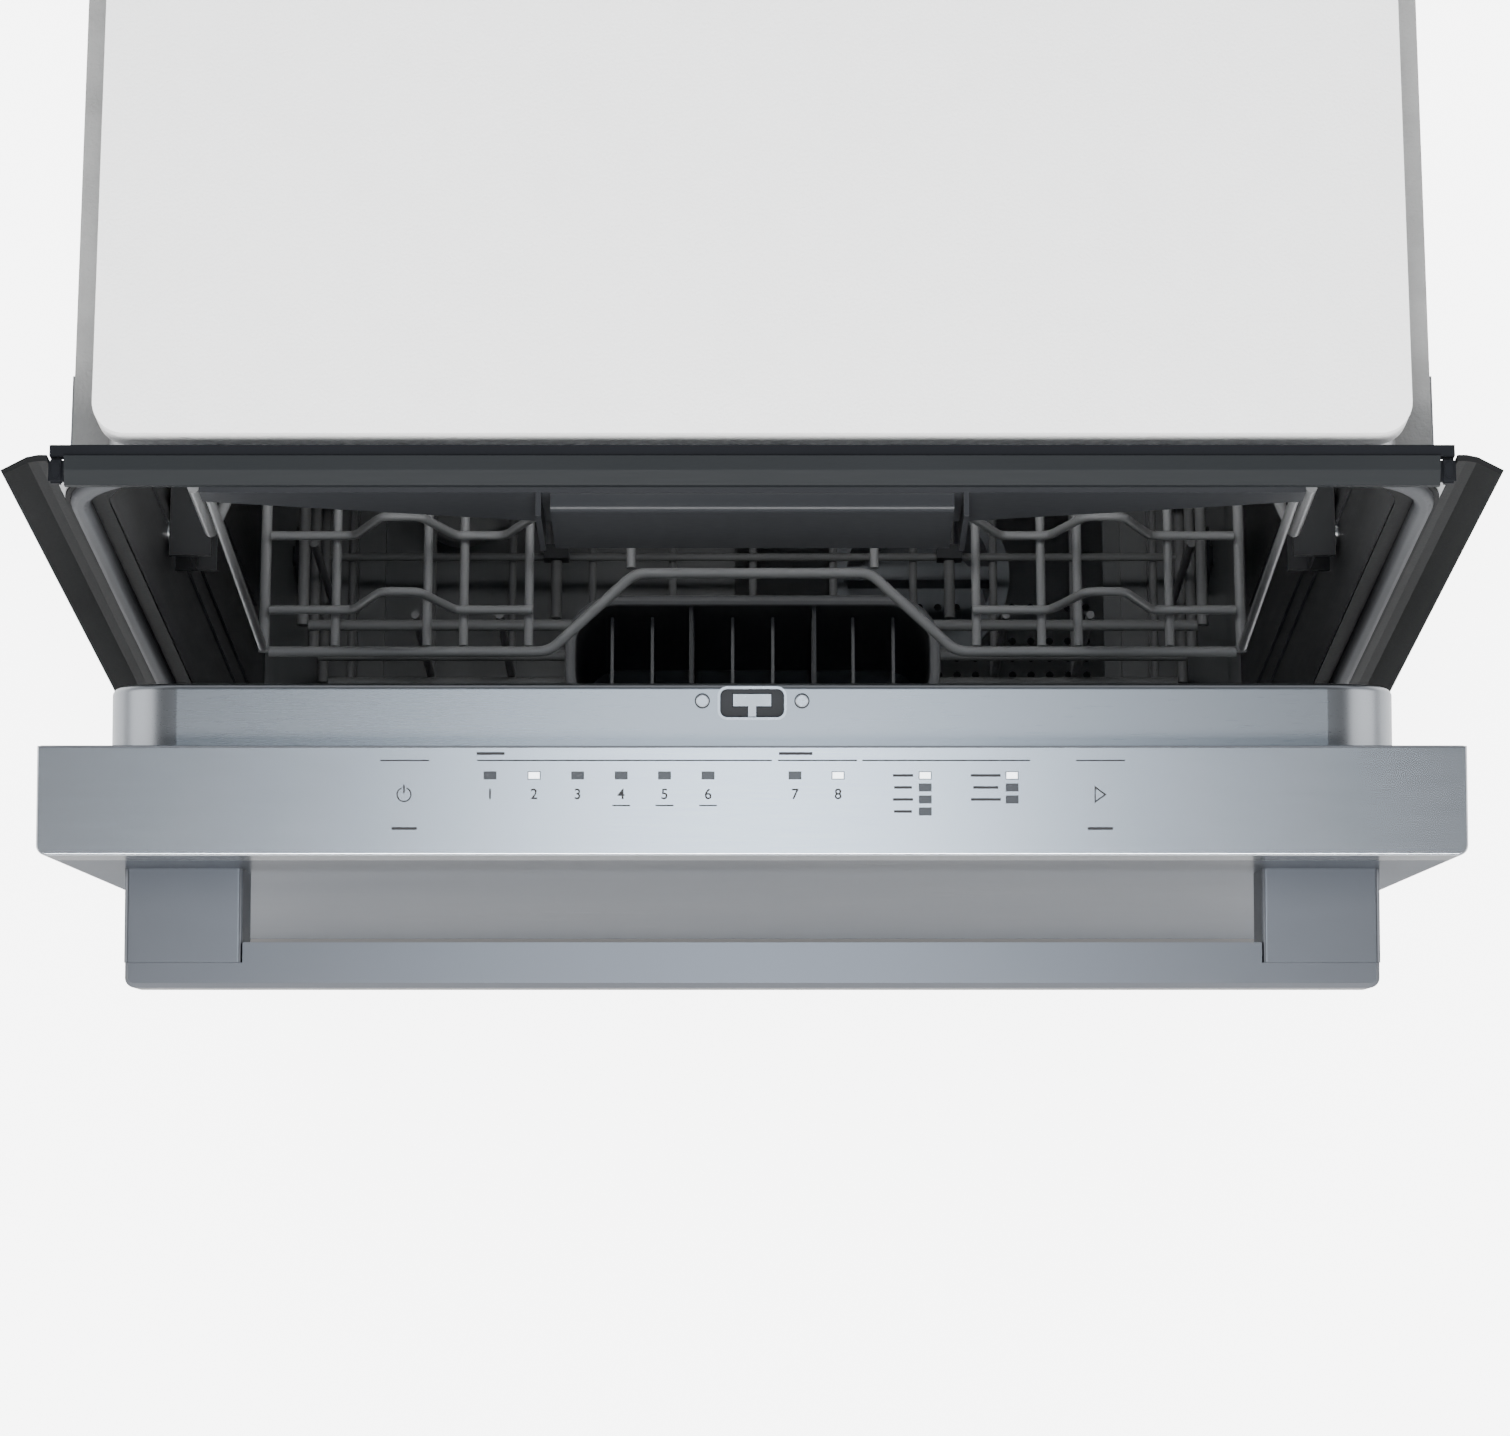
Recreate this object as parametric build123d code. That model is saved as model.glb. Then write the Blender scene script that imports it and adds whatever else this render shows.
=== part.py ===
# Built-in dishwasher with its door ajar and two racks inside
from build123d import *
import os

os.makedirs("parts", exist_ok=True)

# Axes while building: X right, Y into the tub from its front plane, Z up from the floor, in mm

# Door
DOOR_W = 598.0
DOOR_TOP = 850.0
DOOR_BOTTOM = 103.0
DOOR_T = 46.0
DOOR_BACK = 7.0
DOOR_ANGLE = 9.0
HINGE_Z = 128.0
HINGE_FWD = 18.0
CORNER_R = 4.5
SHEET = 1.2
GAP = 0.3
SEAT = 0.1
RUN_GAP = 0.2
CUT = 1.0
THROUGH = 20.0

# Tub and its front frame
TUB_HALF = 278.0
TUB_TOP = 840.0
TUB_BACK = 520.0
TUB_CORNER_R = 42.0
FLANGE_HALF = 297.0
FLANGE_TOP = 851.7
FLOOR_Z = 163.0
FLOOR_T = 8.0
RECESS = 4.0
LEDGE_Z = 167.0
LEDGE_X = (225.0, 270.0)
LEDGE_Y = (26.0, 505.0)
FLOOR_FRONT = 1.5
FLOOR_LIP_Y = 6.0
FLOOR_LIP_H = 10.0
RECESS_HALF = 210.0
RECESS_Y = (40.0, 480.0)

# Top rail, seals and lips
RAIL_HALF = 290.0
TOP_RAIL_Y = (-10.0, 2.0)
TOP_RAIL_SHOULDER_Y = -4.0
TOP_RAIL_STEPS = (3.0, 5.6, 6.6)
STRIP_HALF = 296.3
STRIP_Y = (2.2, 7.0)
STRIP_H = 5.6
LIP_OUTLINE = ((301.0, 0.0), (305.3, -0.7), (315.6, -6.0), (316.8, -4.0), (306.0, 1.8), (301.2, 2.8))
LIP_TOP = 857.0
BEAD_PROUD = 5.6
BEAD_X = (286.1, 294.6)
BEAD_TOP = 850.2
BEAD_FOOT = 160.0
BEAD_R = 50.0
BEAD_ROUND = 3.0
BEAD_LONG_EDGE = 20.0
LOW_SEAL_HALF = 272.0
LOW_SEAL_Y = (-3.0, 1.5)
LOW_SEAL_Z = (147.0, 161.0)
LOW_SEAL_R = 1.4

# Fleece, fixing tabs and latch strike
TOP_FLEECE_HALF = 279.0
TOP_FLEECE_FRONT = 12.0
TOP_FLEECE_TOP = 858.5
TOP_FLEECE_R = 14.0
SIDE_FLEECE_X = 296.0
SIDE_FLEECE_Y = (4.0, 518.0)
SIDE_FLEECE_Z = (190.0, 796.0)
REAR_FLEECE_HALF = 270.0
REAR_FLEECE_Y = 545.0
REAR_FLEECE_Z = (200.0, 800.0)
TAB_X = (296.2, 297.7)
TAB_Y = (3.2, 60.0)
TAB_Z = (740.0, 790.0)
TAB_HOLE_Y = 45.0
TAB_HOLE_Z = (755.0, 775.0)
STRIKE_HALF = 20.0
STRIKE_Y = (2.0, 40.0)
STRIKE_Z = 836.6
STRIKE_TOOTH_HALF = 8.0
STRIKE_TOOTH_Y = (8.0, 14.0)
STRIKE_TOOTH_Z = (836.0, 837.0)

# Base tray and feet
BASE_HALF = 283.5
BASE_FRONT = 14.0
BASE_REAR = 526.0
BASE_Z = 30.0
BASE_WALL = 8.0
BASE_SKIN = 4.0
FOOT_R = 17.0
FOOT_H = 9.0
STEM_R = 6.0
STEM_TOP = 75.0
FOOT_X = 255.0
FOOT_Y = (45.0, 495.0)
FOOT_BOSS = 18.0
FOOT_BOSS_TOP = 70.0
FOOT_NUT_R = 10.0
FOOT_NUT_H = 7.0
BASE_SLOT_HALF = 260.0
TOE_HALF = 292.0
TOE_Z = (12.0, 84.0)
TOE_SHEET = 2.0
TOE_FOLD = 8.0
TOE_SCREW_X = 250.0
TOE_SCREW_Z = 60.0
HEAD_R = 5.0
TOE_HEAD_H = 2.5

# Pumps, valve and cable gland
INLET_AT = (-205.0, 62.0)
DRAIN_AT = (180.0, 62.0)
GLAND_AT = (-100.0, 70.0)
STUB_Y = (527.0, 544.0)
DRAIN_R = (8.0, 10.0, 11.0)
DRAIN_BORE_Y = 440.0
INLET_R = (6.0, 8.0, 9.0)
INLET_BORE_Y = 480.0
GLAND_R = (6.0, 11.0, 15.0)
GLAND_Y = (500.0, 534.0, 538.0)
HOLE_CLEAR = 0.5
VALVE_HALF = 24.0
VALVE_Y = 462.0
VALVE_H = 52.0
PUMP_Y = 330.0
PUMP_X = (-170.0, 20.0, 45.0)
PUMP_R = (45.0, 30.0)
DRAIN_PUMP_X = (150.0, 222.0)
DRAIN_PUMP_Y = 300.0
DRAIN_PUMP_R = 28.0

# Inner door pan
PAN_HALF = 273.7
PAN_TOP = 834.0
PAN_BOTTOM = 168.0
PAN_FACE = 21.0
PAN_R = 31.0
LINER_T = 1.0
LINER_BOTTOM = 158.0
LINER_TOP = 840.0
PAN_EDGE_R = 3.0
DISP_CUT = 9.0

# Control panel
FASCIA_H = 32.0
FASCIA_WALL = 2.5
WINDOW = (5.4, 3.4)
WINDOW_CLEAR = 0.1
WINDOW_ROW = 33.5
WINDOW_STEP = 5.03
PROGRAM_X = (-109.5, -91.1, -72.9, -54.7, -36.6, -18.4)
OPTION_X = (17.9, 35.9)
STATE_COLUMNS = ((72.3, 4), (108.6, 3))
WINDOW_HOLE = 8.0
WINDOW_HOLE_Z = 2.0
FASCIA_ROUND = 1.0

# Handle
HANDLE_DROP = 88.4
HANDLE_H = 36.0
BRACKET_X = (222.0, 273.5)
BRACKET_REACH = 40.9
BAR_BACK = 32.2
BAR_FRONT = 51.8
SCREW_R = 2.5
SCREW_CLEAR = 0.1
BRACKET_ROUND = 2.0
BAR_CHAMFER = (2.0, 5.0)
HANDLE_SCREW_OFF = 10.0
HANDLE_SCREW_IN = 22.0
HANDLE_HEAD_H = 4.0

# Hinges
PIN_R = 5.0
PIN_CLEAR = 0.05
BRACKET_PLATE = (283.8, 287.8)
ARM_PLATE = (289.5, 292.5)
PIN_END = 295.5
KNUCKLE_R = 14.0
HINGE_PLATE_Y = 70.0
ARM_U = 32.0
ARM_Z = (113.0, 340.0)
SPRING_PITCH = 7.0
SPRING_LENGTH = 154.0
SPRING_R = 9.0
SPRING_WIRE_R = 1.3
SPRING_X = 262.0
SPRING_Y = 120.0

# Telescoping rails and rollers
RAIL_Z = 600.0
RAIL_X = (256.0, 276.0)
RAIL_Y = (30.0, 480.0)
RAIL_SLOT = 22.0
RAIL_FLANGE = 3.0
RAIL_WEB = (265.4, 266.6)
ROLLER_R = 10.7
ROLLER_PIN_R = 3.0
TUB_ROLLER_X = (267.5, 274.5)
TUB_ROLLER_Y = (45.0, 215.0)
RACK_ROLLER_X = (257.0, 264.0)
RACK_ROLLER_Y = (255.0, 440.0)
ROLLER_SHOULDER_R = 6.0
CARRIER_X = 255.0
CARRIER_HALF = 13.0
CARRIER_Z = (590.0, 612.0)

# Upper rack
UPPER_HALF = 240.0
UPPER_FRONT = 8.0
UPPER_REAR = 450.0
UPPER_Z = 520.0
UPPER_RIM_Z = 650.0
WIRE_R = 2.2
RIM_R = 2.6
UPPER_RUNS = (60.0, 110.0, 142.0, 160.0, 205.0)
WAVE_PEAKS = (97.0, 171.0)
WAVE_RISE = 33.0
WAVE_FIRST = 66.0
WAVE_STEP = 38.0
WAVE_COUNT = 10
NOTCH_X = (58.0, 100.0)
NOTCH_D = 40.0
NOTCH_BEND = 14.0
WAVE_BEND = 7.0
WAVE_FOOT = 25.0
WAVE_CREST = 9.0
SHORT_WAVE_D = 20.0
SHORT_WAVE_X = 108.0
SIDE_UPRIGHT_Y = (90.0, 160.0, 230.0, 300.0, 370.0, 430.0)
REAR_UPRIGHT_X = (-180.0, -90.0, 0.0, 90.0, 180.0)
SHOULDER_X = 249.2
SHOULDER_Y = (23.0, 58.0)
SHOULDER_Z = (672.0, 745.0)
SHOULDER_BEND = 9.0
RIM_START = 59.6
CORNER_ROD = ((240.4, 10.0), (243.4, 22.5))
CORNER_ROD_DROP = 3.2
TRIM_MID_HALF = 95.0
TRIM_Y = (20.0, 26.0)
TRIM_TOP = 747.0
TRIM_END_Z = 733.0
TRIM_MID_Z = 702.0
GRIP_HALF = 90.0
GRIP_Z = (684.0, 745.0)
GRIP_Y = (12.0, 30.0)
GRIP_ROUND = 2.5
FIN_X = (94.0, 96.5)
FIN_Y = (9.0, 25.0)
FIN_Z = 692.0

# Lower rack
LOWER_HALF = 240.0
LOWER_FRONT = 74.0
LOWER_REAR = 488.0
LOWER_Z = 205.0
LOWER_RIM_Z = 330.0
LOWER_RIM_R = 3.0
LOWER_MID_Z = 268.0
LOWER_RUN_FIRST = -225.0
LOWER_RUN_STEP = 45.0
LOWER_RUN_COUNT = 11
CROSS_FIRST = 92.0
CROSS_STEP = 55.0
CROSS_COUNT = 8
CROSS_END = 2.5
END_LIFT = 0.8
SIDE_FIRST = 119.0
SIDE_COUNT = 7
END_FIRST = -180.0
END_COUNT = 9
UPRIGHT_OVER = 2.0
WHEEL_R = 17.0
WHEEL_X = (246.0, 258.0)
WHEEL_Y = (155.0, 420.0)
AXLE_R = 4.0
WHEEL_CLIP_HALF = 14.0
WHEEL_CLIP_DROP = 8.0
WHEEL_CLIP_TOP = 228.0
AXLE_HEAD_R = 6.0
AXLE_HEAD = (0.5, 2.5)
TINE_X = 110.0
TINE_Z = 215.0
TINE_ROD_R = 3.0
TINE_R = 2.0
TINE_TOP = 300.0
TINE_Y = (110.0, 450.0)
TINE_FIRST = 167.0
TINE_STEP = 40.0
TINE_COUNT = 8
TINE_CLIP_ROWS = (1, 6)
TINE_CLIP = (7.0, 4.0, 7.0)

# Cutlery basket
CUTLERY_HALF = 95.0
CUTLERY_Y = (7.0, 70.0)
CUTLERY_Z = (258.0, 395.0)
CUTLERY_WALL = 2.5
CUTLERY_R = 24.0
PARTITION_X = (-32.0, 32.0)
PARTITION_HALF = 1.0
PARTITION_DROP = 6.0
HOOK_X = (-62.0, 62.0)
HOOK_HALF = 8.0
HOOK_T = 4.0
HOOK_REACH = 3.0

# Spray arms, sump and filter
POST_Y = 260.0
POST_R = 12.0
ARM_LENGTH = 410.0
ARM_W = 46.0
UPPER_ARM_Y = 232.0
UPPER_POST_R = 9.0
RISER_HALF = 30.0
RISER_FRONT = 513.0
CEILING_HALF = 15.0
CEILING_Z = 825.0
CEILING_GAP = 0.5
NOZZLE_Z = (812.0, 816.0)
NOZZLE_R = (16.0, 26.0)
POST_Z = (167.0, 191.0, 195.0)
POST_BASE_R = 28.0
POST_CAP_R = 17.0
ARM_Z_LOWER = 174.0
ARM_H_LOWER = 13.0
ARM_HUB_LOWER = 27.0
ARM_Z_UPPER = 483.0
ARM_H_UPPER = 12.0
ARM_HUB_UPPER = 21.0
ARM_PLAY = 0.4
ARM_ROUND = 4.0
ARM_TURN = 24.0
FEED_HALF = 13.0
FEED_REAR = 462.0
FEED_Z = 503.0
FEED_ROUND = 5.0
FEED_HUB_R = 24.0
FEED_YOKE = (70.0, 9.0, 511.0)
UPPER_POST_Z = (472.0, 476.0, 501.0)
UPPER_CAP_R = 15.0
FILTER_AT = (95.0, 150.0)
FILTER_R = 44.5
FILTER_CLEAR = 1.5
SUMP_R = 60.0
SUMP_WALL = 4.0
SUMP_LOW = 66.0
SUMP_STEM_R = 14.0
PLATE_X = (-10.0, 200.0)
PLATE_Y = (60.0, 226.0)
PLATE_T = 1.2
CUP_LOW = 84.0
CUP_SKIN = 4.0
CUP_WALL = 3.0
CUP_RIM = 7.0
CUP_RIM_H = 3.0
CUP_GRIP = (43.0, 4.0, 12.0, 6.0)

# Dispenser
DISP_HALF = 108.0
DISP_Z = (422.0, 558.0)
CUP_X = (-100.0, -10.0)
CUP_Z = (435.0, 545.0)
CAP_AT = (55.0, 490.0)
CAP_R = 25.0
DISP_FRAME = 6.0
DISP_FACE = 1.6
DISP_BACK = -6.0
CUP_BACK = -3.0
LID_LAP = 4.0
LID_T = 2.6
LID_GRIP = (12.0, 8.0, 25.0, 4.4)
LID_ROUND = 1.5
CAP_T = 2.4
CAP_HOLE_R = 18.0
CAP_HOLE_D = 8.0
CAP_HINGE_OFF = 3.0
CAP_HINGE_UP = 2.0
CAP_NECK = (10.0, 18.0)
CAP_KNUCKLE_R = 1.6
CAP_PIN_R = 0.8
EAR_X = (10.3, 13.3)
EAR_HALF = 1.8
CAP_PIN_HALF = 11.0

# Latch
SLOT_HALF = 13.5
SLOT_U = (-18.4, -6.4)
SLOT_R = 3.0
SLOT_DEPTH = 6.0
PLUG_X = (-21.0, 21.0)
PLUG_Y = 13.3
PLUG_R = (1.5, 3.2)
PLUG_Z = (4.0, 0.9)
TONGUE_HALF = (8.0, 1.7)
TONGUE_Y = (6.8, 11.2, 16.3)
TONGUE_LOW = 808.0
HOUSING_HALF = 17.0
HOUSING_Y = 2.0
HOUSING_Z = 798.0
WELL_Z = (802.0, 840.0)

# Board and fleece inside the door
BOARD_HALF = 160.0
BOARD_U = (14.0, 46.0)
BOARD_Z = 838.0
DOOR_FLEECE_HALF = 280.0
DOOR_FLEECE_U = 44.0
DOOR_FLEECE_Z = (170.0, 640.0)

nodes = {}


# A box given by its limits along X, Y and Z
def block(xs, ys, zs):
    limits = (xs, ys, zs)
    size = [b - a for a, b in limits]
    middle = [(a + b) / 2 for a, b in limits]
    return Pos(*middle) * Box(*size)


# A straight round bar between two points
def rod(start, end, radius):
    a = Vector(*start)
    run = Vector(*end) - a
    place = Plane(a, z_dir=run)
    return place * Cylinder(radius, run.length, align=(Align.CENTER, Align.CENTER, Align.MIN))


# A round wire along bent points
def wire(points, radius, bend):
    path = FilletPolyline(*points, radius=bend)
    return sweep(Plane(path @ 0, z_dir=path % 0) * Circle(radius), path=path)


# A shape and its twin on the other side
def both(shape):
    return [shape, mirror(shape, about=Plane.YZ)]


# A box with round upper corners as seen from the front
def arch(half, ys, zs, radius):
    shape = block((-half, half), ys, zs)
    corners = shape.edges().filter_by(Axis.Y).group_by(Axis.Z)[-1]
    return fillet(corners, radius)


# Range of Y for a range of distances forward of the tub plane
def fwd(a, b):
    return (-b, -a)


# Turns a door piece from closed to ajar about the hinge line
def swing(shape):
    hinge = Pos(0, -HINGE_FWD, HINGE_Z)
    return hinge * Rot(X=DOOR_ANGLE) * hinge.inverse() * shape


# Adds a node of one or more solids
def add(name, *shapes):
    nodes[name] = list(shapes)


# Adds a node that rides on the door
def add_door(name, *shapes):
    nodes[name] = [swing(shape) for shape in shapes]


# Tub
floor_under = FLOOR_Z - FLOOR_T
inside = arch(TUB_HALF, (-CUT, TUB_BACK + CUT), (floor_under - CUT, TUB_TOP), TUB_CORNER_R)
tub_outer_half = TUB_HALF + SHEET
tub_outer_top = TUB_TOP + SHEET
tub = arch(tub_outer_half, (0, TUB_BACK), (floor_under, tub_outer_top), TUB_CORNER_R + SHEET)
tub += block((-FLANGE_HALF, FLANGE_HALF), (0, SHEET), (floor_under, FLANGE_TOP))
tub -= inside
add("tub_wrap", tub)
back_plate = (TUB_BACK, TUB_BACK + SHEET)
add("tub_back", arch(tub_outer_half, back_plate, (floor_under, tub_outer_top), TUB_CORNER_R + SHEET))

floor_half = TUB_HALF - GAP
floor = block((-floor_half, floor_half), (FLOOR_FRONT, TUB_BACK - GAP), (floor_under, FLOOR_Z))
lip_z = (floor_under - FLOOR_LIP_H, floor_under - SEAT)
floor_lip = block((-floor_half, floor_half), (FLOOR_FRONT, FLOOR_LIP_Y), lip_z)
for ledge in both(block(LEDGE_X, LEDGE_Y, (FLOOR_Z, LEDGE_Z))):
    floor += ledge
recess_z = FLOOR_Z - RECESS
floor -= block((-RECESS_HALF, RECESS_HALF), RECESS_Y, (recess_z, FLOOR_Z + CUT))
filter_axis = Pos(FILTER_AT[0], FILTER_AT[1], 0)
well_cut = filter_axis * rod((0, 0, SUMP_LOW), (0, 0, FLOOR_Z + CUT), FILTER_R + FILTER_CLEAR)
floor -= well_cut
add("tub_floor", floor, floor_lip)

# Base tray, feet and toe-kick
pan_top = BASE_Z + BASE_SKIN
inner_half = BASE_HALF - BASE_WALL
inner_y = (BASE_FRONT + BASE_WALL, BASE_REAR - BASE_WALL)
wall_z = (pan_top + SEAT, floor_under)
pan = block((-BASE_HALF, BASE_HALF), (BASE_FRONT, BASE_REAR), (BASE_Z, pan_top))
front_wall = block((-BASE_HALF, BASE_HALF), (BASE_FRONT, inner_y[0]), wall_z)
rear_wall = block((-BASE_HALF, BASE_HALF), (inner_y[1], BASE_REAR), wall_z)
side_walls = both(block((inner_half, BASE_HALF), (inner_y[0] + SEAT, inner_y[1] - SEAT), wall_z))
slot_y = (BASE_FRONT - CUT, BASE_FRONT + BASE_WALL + CUT)
slot_z = (floor_under - FLOOR_LIP_H - CUT, floor_under + CUT)
front_wall -= block((-BASE_SLOT_HALF, BASE_SLOT_HALF), slot_y, slot_z)
feet = []
bosses = []
for x in (-FOOT_X, FOOT_X):
    for y in FOOT_Y:
        boss_z = (pan_top + SEAT, FOOT_BOSS_TOP)
        boss = block((x - FOOT_BOSS, x + FOOT_BOSS), (y - FOOT_BOSS, y + FOOT_BOSS), boss_z)
        stem_hole = rod((x, y, BASE_Z - CUT), (x, y, STEM_TOP + CUT), STEM_R + GAP)
        pan -= stem_hole
        bosses.append(boss - stem_hole)
        foot = rod((x, y, 0), (x, y, FOOT_H), FOOT_R)
        foot += rod((x, y, FOOT_H), (x, y, STEM_TOP), STEM_R)
        foot += rod((x, y, BASE_Z - FOOT_NUT_H), (x, y, BASE_Z), FOOT_NUT_R)
        feet.append(foot)
toe_front = BASE_FRONT - TOE_SHEET
toe = block((-TOE_HALF, TOE_HALF), (toe_front, BASE_FRONT), TOE_Z)
toe += block((-TOE_HALF, TOE_HALF), (BASE_FRONT - TOE_FOLD, toe_front), (TOE_Z[0], TOE_Z[0] + TOE_SHEET))
toe_screws = []
for x in (-TOE_SCREW_X, TOE_SCREW_X):
    at = [(x, y, TOE_SCREW_Z) for y in (toe_front - TOE_HEAD_H, toe_front, BASE_FRONT + BASE_WALL)]
    ends = [(x, y, TOE_SCREW_Z) for y in (toe_front - CUT, BASE_FRONT + BASE_WALL + CUT)]
    hole = rod(*ends, SCREW_R + SCREW_CLEAR)
    front_wall -= hole
    toe -= hole
    toe_screws.append(rod(at[0], at[1], HEAD_R) + rod(at[1], at[2], SCREW_R))
rear_holes = ((INLET_AT, INLET_R[2]), (DRAIN_AT, DRAIN_R[2]), (GLAND_AT, GLAND_R[1]))
for (x, z), radius in rear_holes:
    rear_wall -= rod((x, inner_y[1] - CUT, z), (x, BASE_REAR + CUT, z), radius + HOLE_CLEAR)
add("base_tray", pan, front_wall, rear_wall, *side_walls, *bosses)
add("levelling_feet", *feet)
add("toe_kick", toe)
add("toe_screws", *toe_screws)

# Top front rail, seal strip, side lips, gasket and lower seal
rail_z = FLANGE_TOP + GAP
shoulder_z = [rail_z + step for step in TOP_RAIL_STEPS]
rail_points = (
    (TOP_RAIL_Y[0], rail_z), (TOP_RAIL_Y[0], shoulder_z[0]), (TOP_RAIL_SHOULDER_Y, shoulder_z[1]),
    (TOP_RAIL_Y[1], shoulder_z[2]), (TOP_RAIL_Y[1], rail_z),
)
rail_face = Plane.YZ * make_face(Polyline(*rail_points, close=True))
add("front_rail", extrude(rail_face, amount=RAIL_HALF, both=True))
add("top_seal_strip", block((-STRIP_HALF, STRIP_HALF), STRIP_Y, (rail_z, rail_z + STRIP_H)))
lip_x = FLANGE_HALF + GAP
lip_points = ((lip_x, 0), *LIP_OUTLINE, (lip_x, LIP_OUTLINE[-1][1]))
lip_face = make_face(Polyline(*lip_points, close=True))
lip = Pos(0, 0, floor_under) * extrude(lip_face, amount=LIP_TOP - floor_under)
add("side_lips", *both(lip))
bead_w = BEAD_X[1] - BEAD_X[0]
bead = arch(BEAD_X[1], (-BEAD_PROUD, 0), (BEAD_FOOT, BEAD_TOP), BEAD_R)
bead -= arch(BEAD_X[0], (-BEAD_PROUD - CUT, CUT), (BEAD_FOOT - CUT, BEAD_TOP - bead_w), BEAD_R - bead_w)
bead_edges = bead.edges().group_by(Axis.Y)[0]
long_edges = [edge for edge in bead_edges if edge.length > BEAD_LONG_EDGE]
add("door_gasket", fillet(long_edges, BEAD_ROUND))
low_seal = block((-LOW_SEAL_HALF, LOW_SEAL_HALF), LOW_SEAL_Y, LOW_SEAL_Z)
add("lower_door_seal", fillet(low_seal.edges().filter_by(Axis.X), LOW_SEAL_R))

# Fleece pads, fixing tabs and latch strike
top_z = (tub_outer_top + GAP, TOP_FLEECE_TOP)
top_fleece = block((-TOP_FLEECE_HALF, TOP_FLEECE_HALF), (TOP_FLEECE_FRONT, TUB_BACK), top_z)
add("top_fleece", fillet(top_fleece.edges().filter_by(Axis.Z), TOP_FLEECE_R))
side_fleece = both(block((tub_outer_half + GAP, SIDE_FLEECE_X), SIDE_FLEECE_Y, SIDE_FLEECE_Z))
rear_y = (TUB_BACK + SHEET + GAP, REAR_FLEECE_Y)
rear_fleece = block((-REAR_FLEECE_HALF, REAR_FLEECE_HALF), rear_y, REAR_FLEECE_Z)
add("wall_fleece", *side_fleece, rear_fleece)
tab = block(TAB_X, TAB_Y, TAB_Z)
for z in TAB_HOLE_Z:
    tab -= rod((TAB_X[0] - CUT, TAB_HOLE_Y, z), (TAB_X[1] + CUT, TAB_HOLE_Y, z), SCREW_R + SCREW_CLEAR)
add("fixing_tabs", *both(tab))
strike = block((-STRIKE_HALF, STRIKE_HALF), STRIKE_Y, (STRIKE_Z, TUB_TOP - RUN_GAP))
strike += block((-STRIKE_TOOTH_HALF, STRIKE_TOOTH_HALF), STRIKE_TOOTH_Y, STRIKE_TOOTH_Z)
add("latch_strike", strike)

# Hinge brackets with pins
bracket = block(BRACKET_PLATE, (-HINGE_FWD, HINGE_PLATE_Y), (HINGE_Z - KNUCKLE_R, HINGE_Z + KNUCKLE_R))
axis_y = -HINGE_FWD
bracket += rod((BRACKET_PLATE[0], axis_y, HINGE_Z), (BRACKET_PLATE[1], axis_y, HINGE_Z), KNUCKLE_R)
bracket += rod((BRACKET_PLATE[1], axis_y, HINGE_Z), (PIN_END, axis_y, HINGE_Z), PIN_R)
add("hinge_brackets", *both(bracket))

# Counterbalance springs lying in the base tray
tray_z = pan_top
spring_path = Helix(pitch=SPRING_PITCH, height=SPRING_LENGTH, radius=SPRING_R)
spring_face = Plane(spring_path @ 0, z_dir=spring_path % 0) * Circle(SPRING_WIRE_R)
coil = sweep(spring_face, path=spring_path)
coil = Pos(SPRING_X, SPRING_Y, tray_z + SPRING_R + SPRING_WIRE_R + GAP) * Rot(X=-90) * coil
add("door_springs", *both(coil))

# Sump, filter and pumps
sump = rod((0, 0, SUMP_LOW), (0, 0, floor_under), SUMP_R)
sump -= rod((0, 0, SUMP_LOW + SUMP_WALL), (0, 0, floor_under + CUT), SUMP_R - SUMP_WALL)
sump += rod((0, 0, tray_z), (0, 0, SUMP_LOW), SUMP_STEM_R)
sump = filter_axis * sump
plate = block(PLATE_X, PLATE_Y, (recess_z, recess_z + PLATE_T))
add("filter_plate", plate - well_cut)
cup_z = recess_z + PLATE_T + GAP
grip_half, grip_t, grip_drop, grip_rise = CUP_GRIP
cup = rod((0, 0, CUP_LOW), (0, 0, cup_z), FILTER_R)
cup += rod((0, 0, cup_z), (0, 0, cup_z + CUP_RIM_H), FILTER_R + CUP_RIM)
cup -= rod((0, 0, CUP_LOW + CUP_SKIN), (0, 0, cup_z + CUP_RIM_H + CUT), FILTER_R - CUP_WALL)
cup += block((-grip_half, grip_half), (-grip_t, grip_t), (cup_z - grip_drop, cup_z + grip_rise))
add("filter_cup", filter_axis * cup)
pump_at = [(x, PUMP_Y, tray_z + PUMP_R[0]) for x in PUMP_X]
pump = rod(pump_at[0], pump_at[1], PUMP_R[0]) + rod(pump_at[1], pump_at[2], PUMP_R[1])
add("sump_and_pump", sump, pump)


# A hose stub that runs back from a start, steps out for its clamp and is bored from the rear
def stub(at, start, radii, bore_start):
    bore_r, neck_r, end_r = radii
    x, z = at
    shape = rod((x, start, z), (x, STUB_Y[0], z), neck_r) + rod((x, STUB_Y[0], z), (x, STUB_Y[1], z), end_r)
    return shape, rod((x, bore_start, z), (x, STUB_Y[1] + CUT, z), bore_r)


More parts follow.
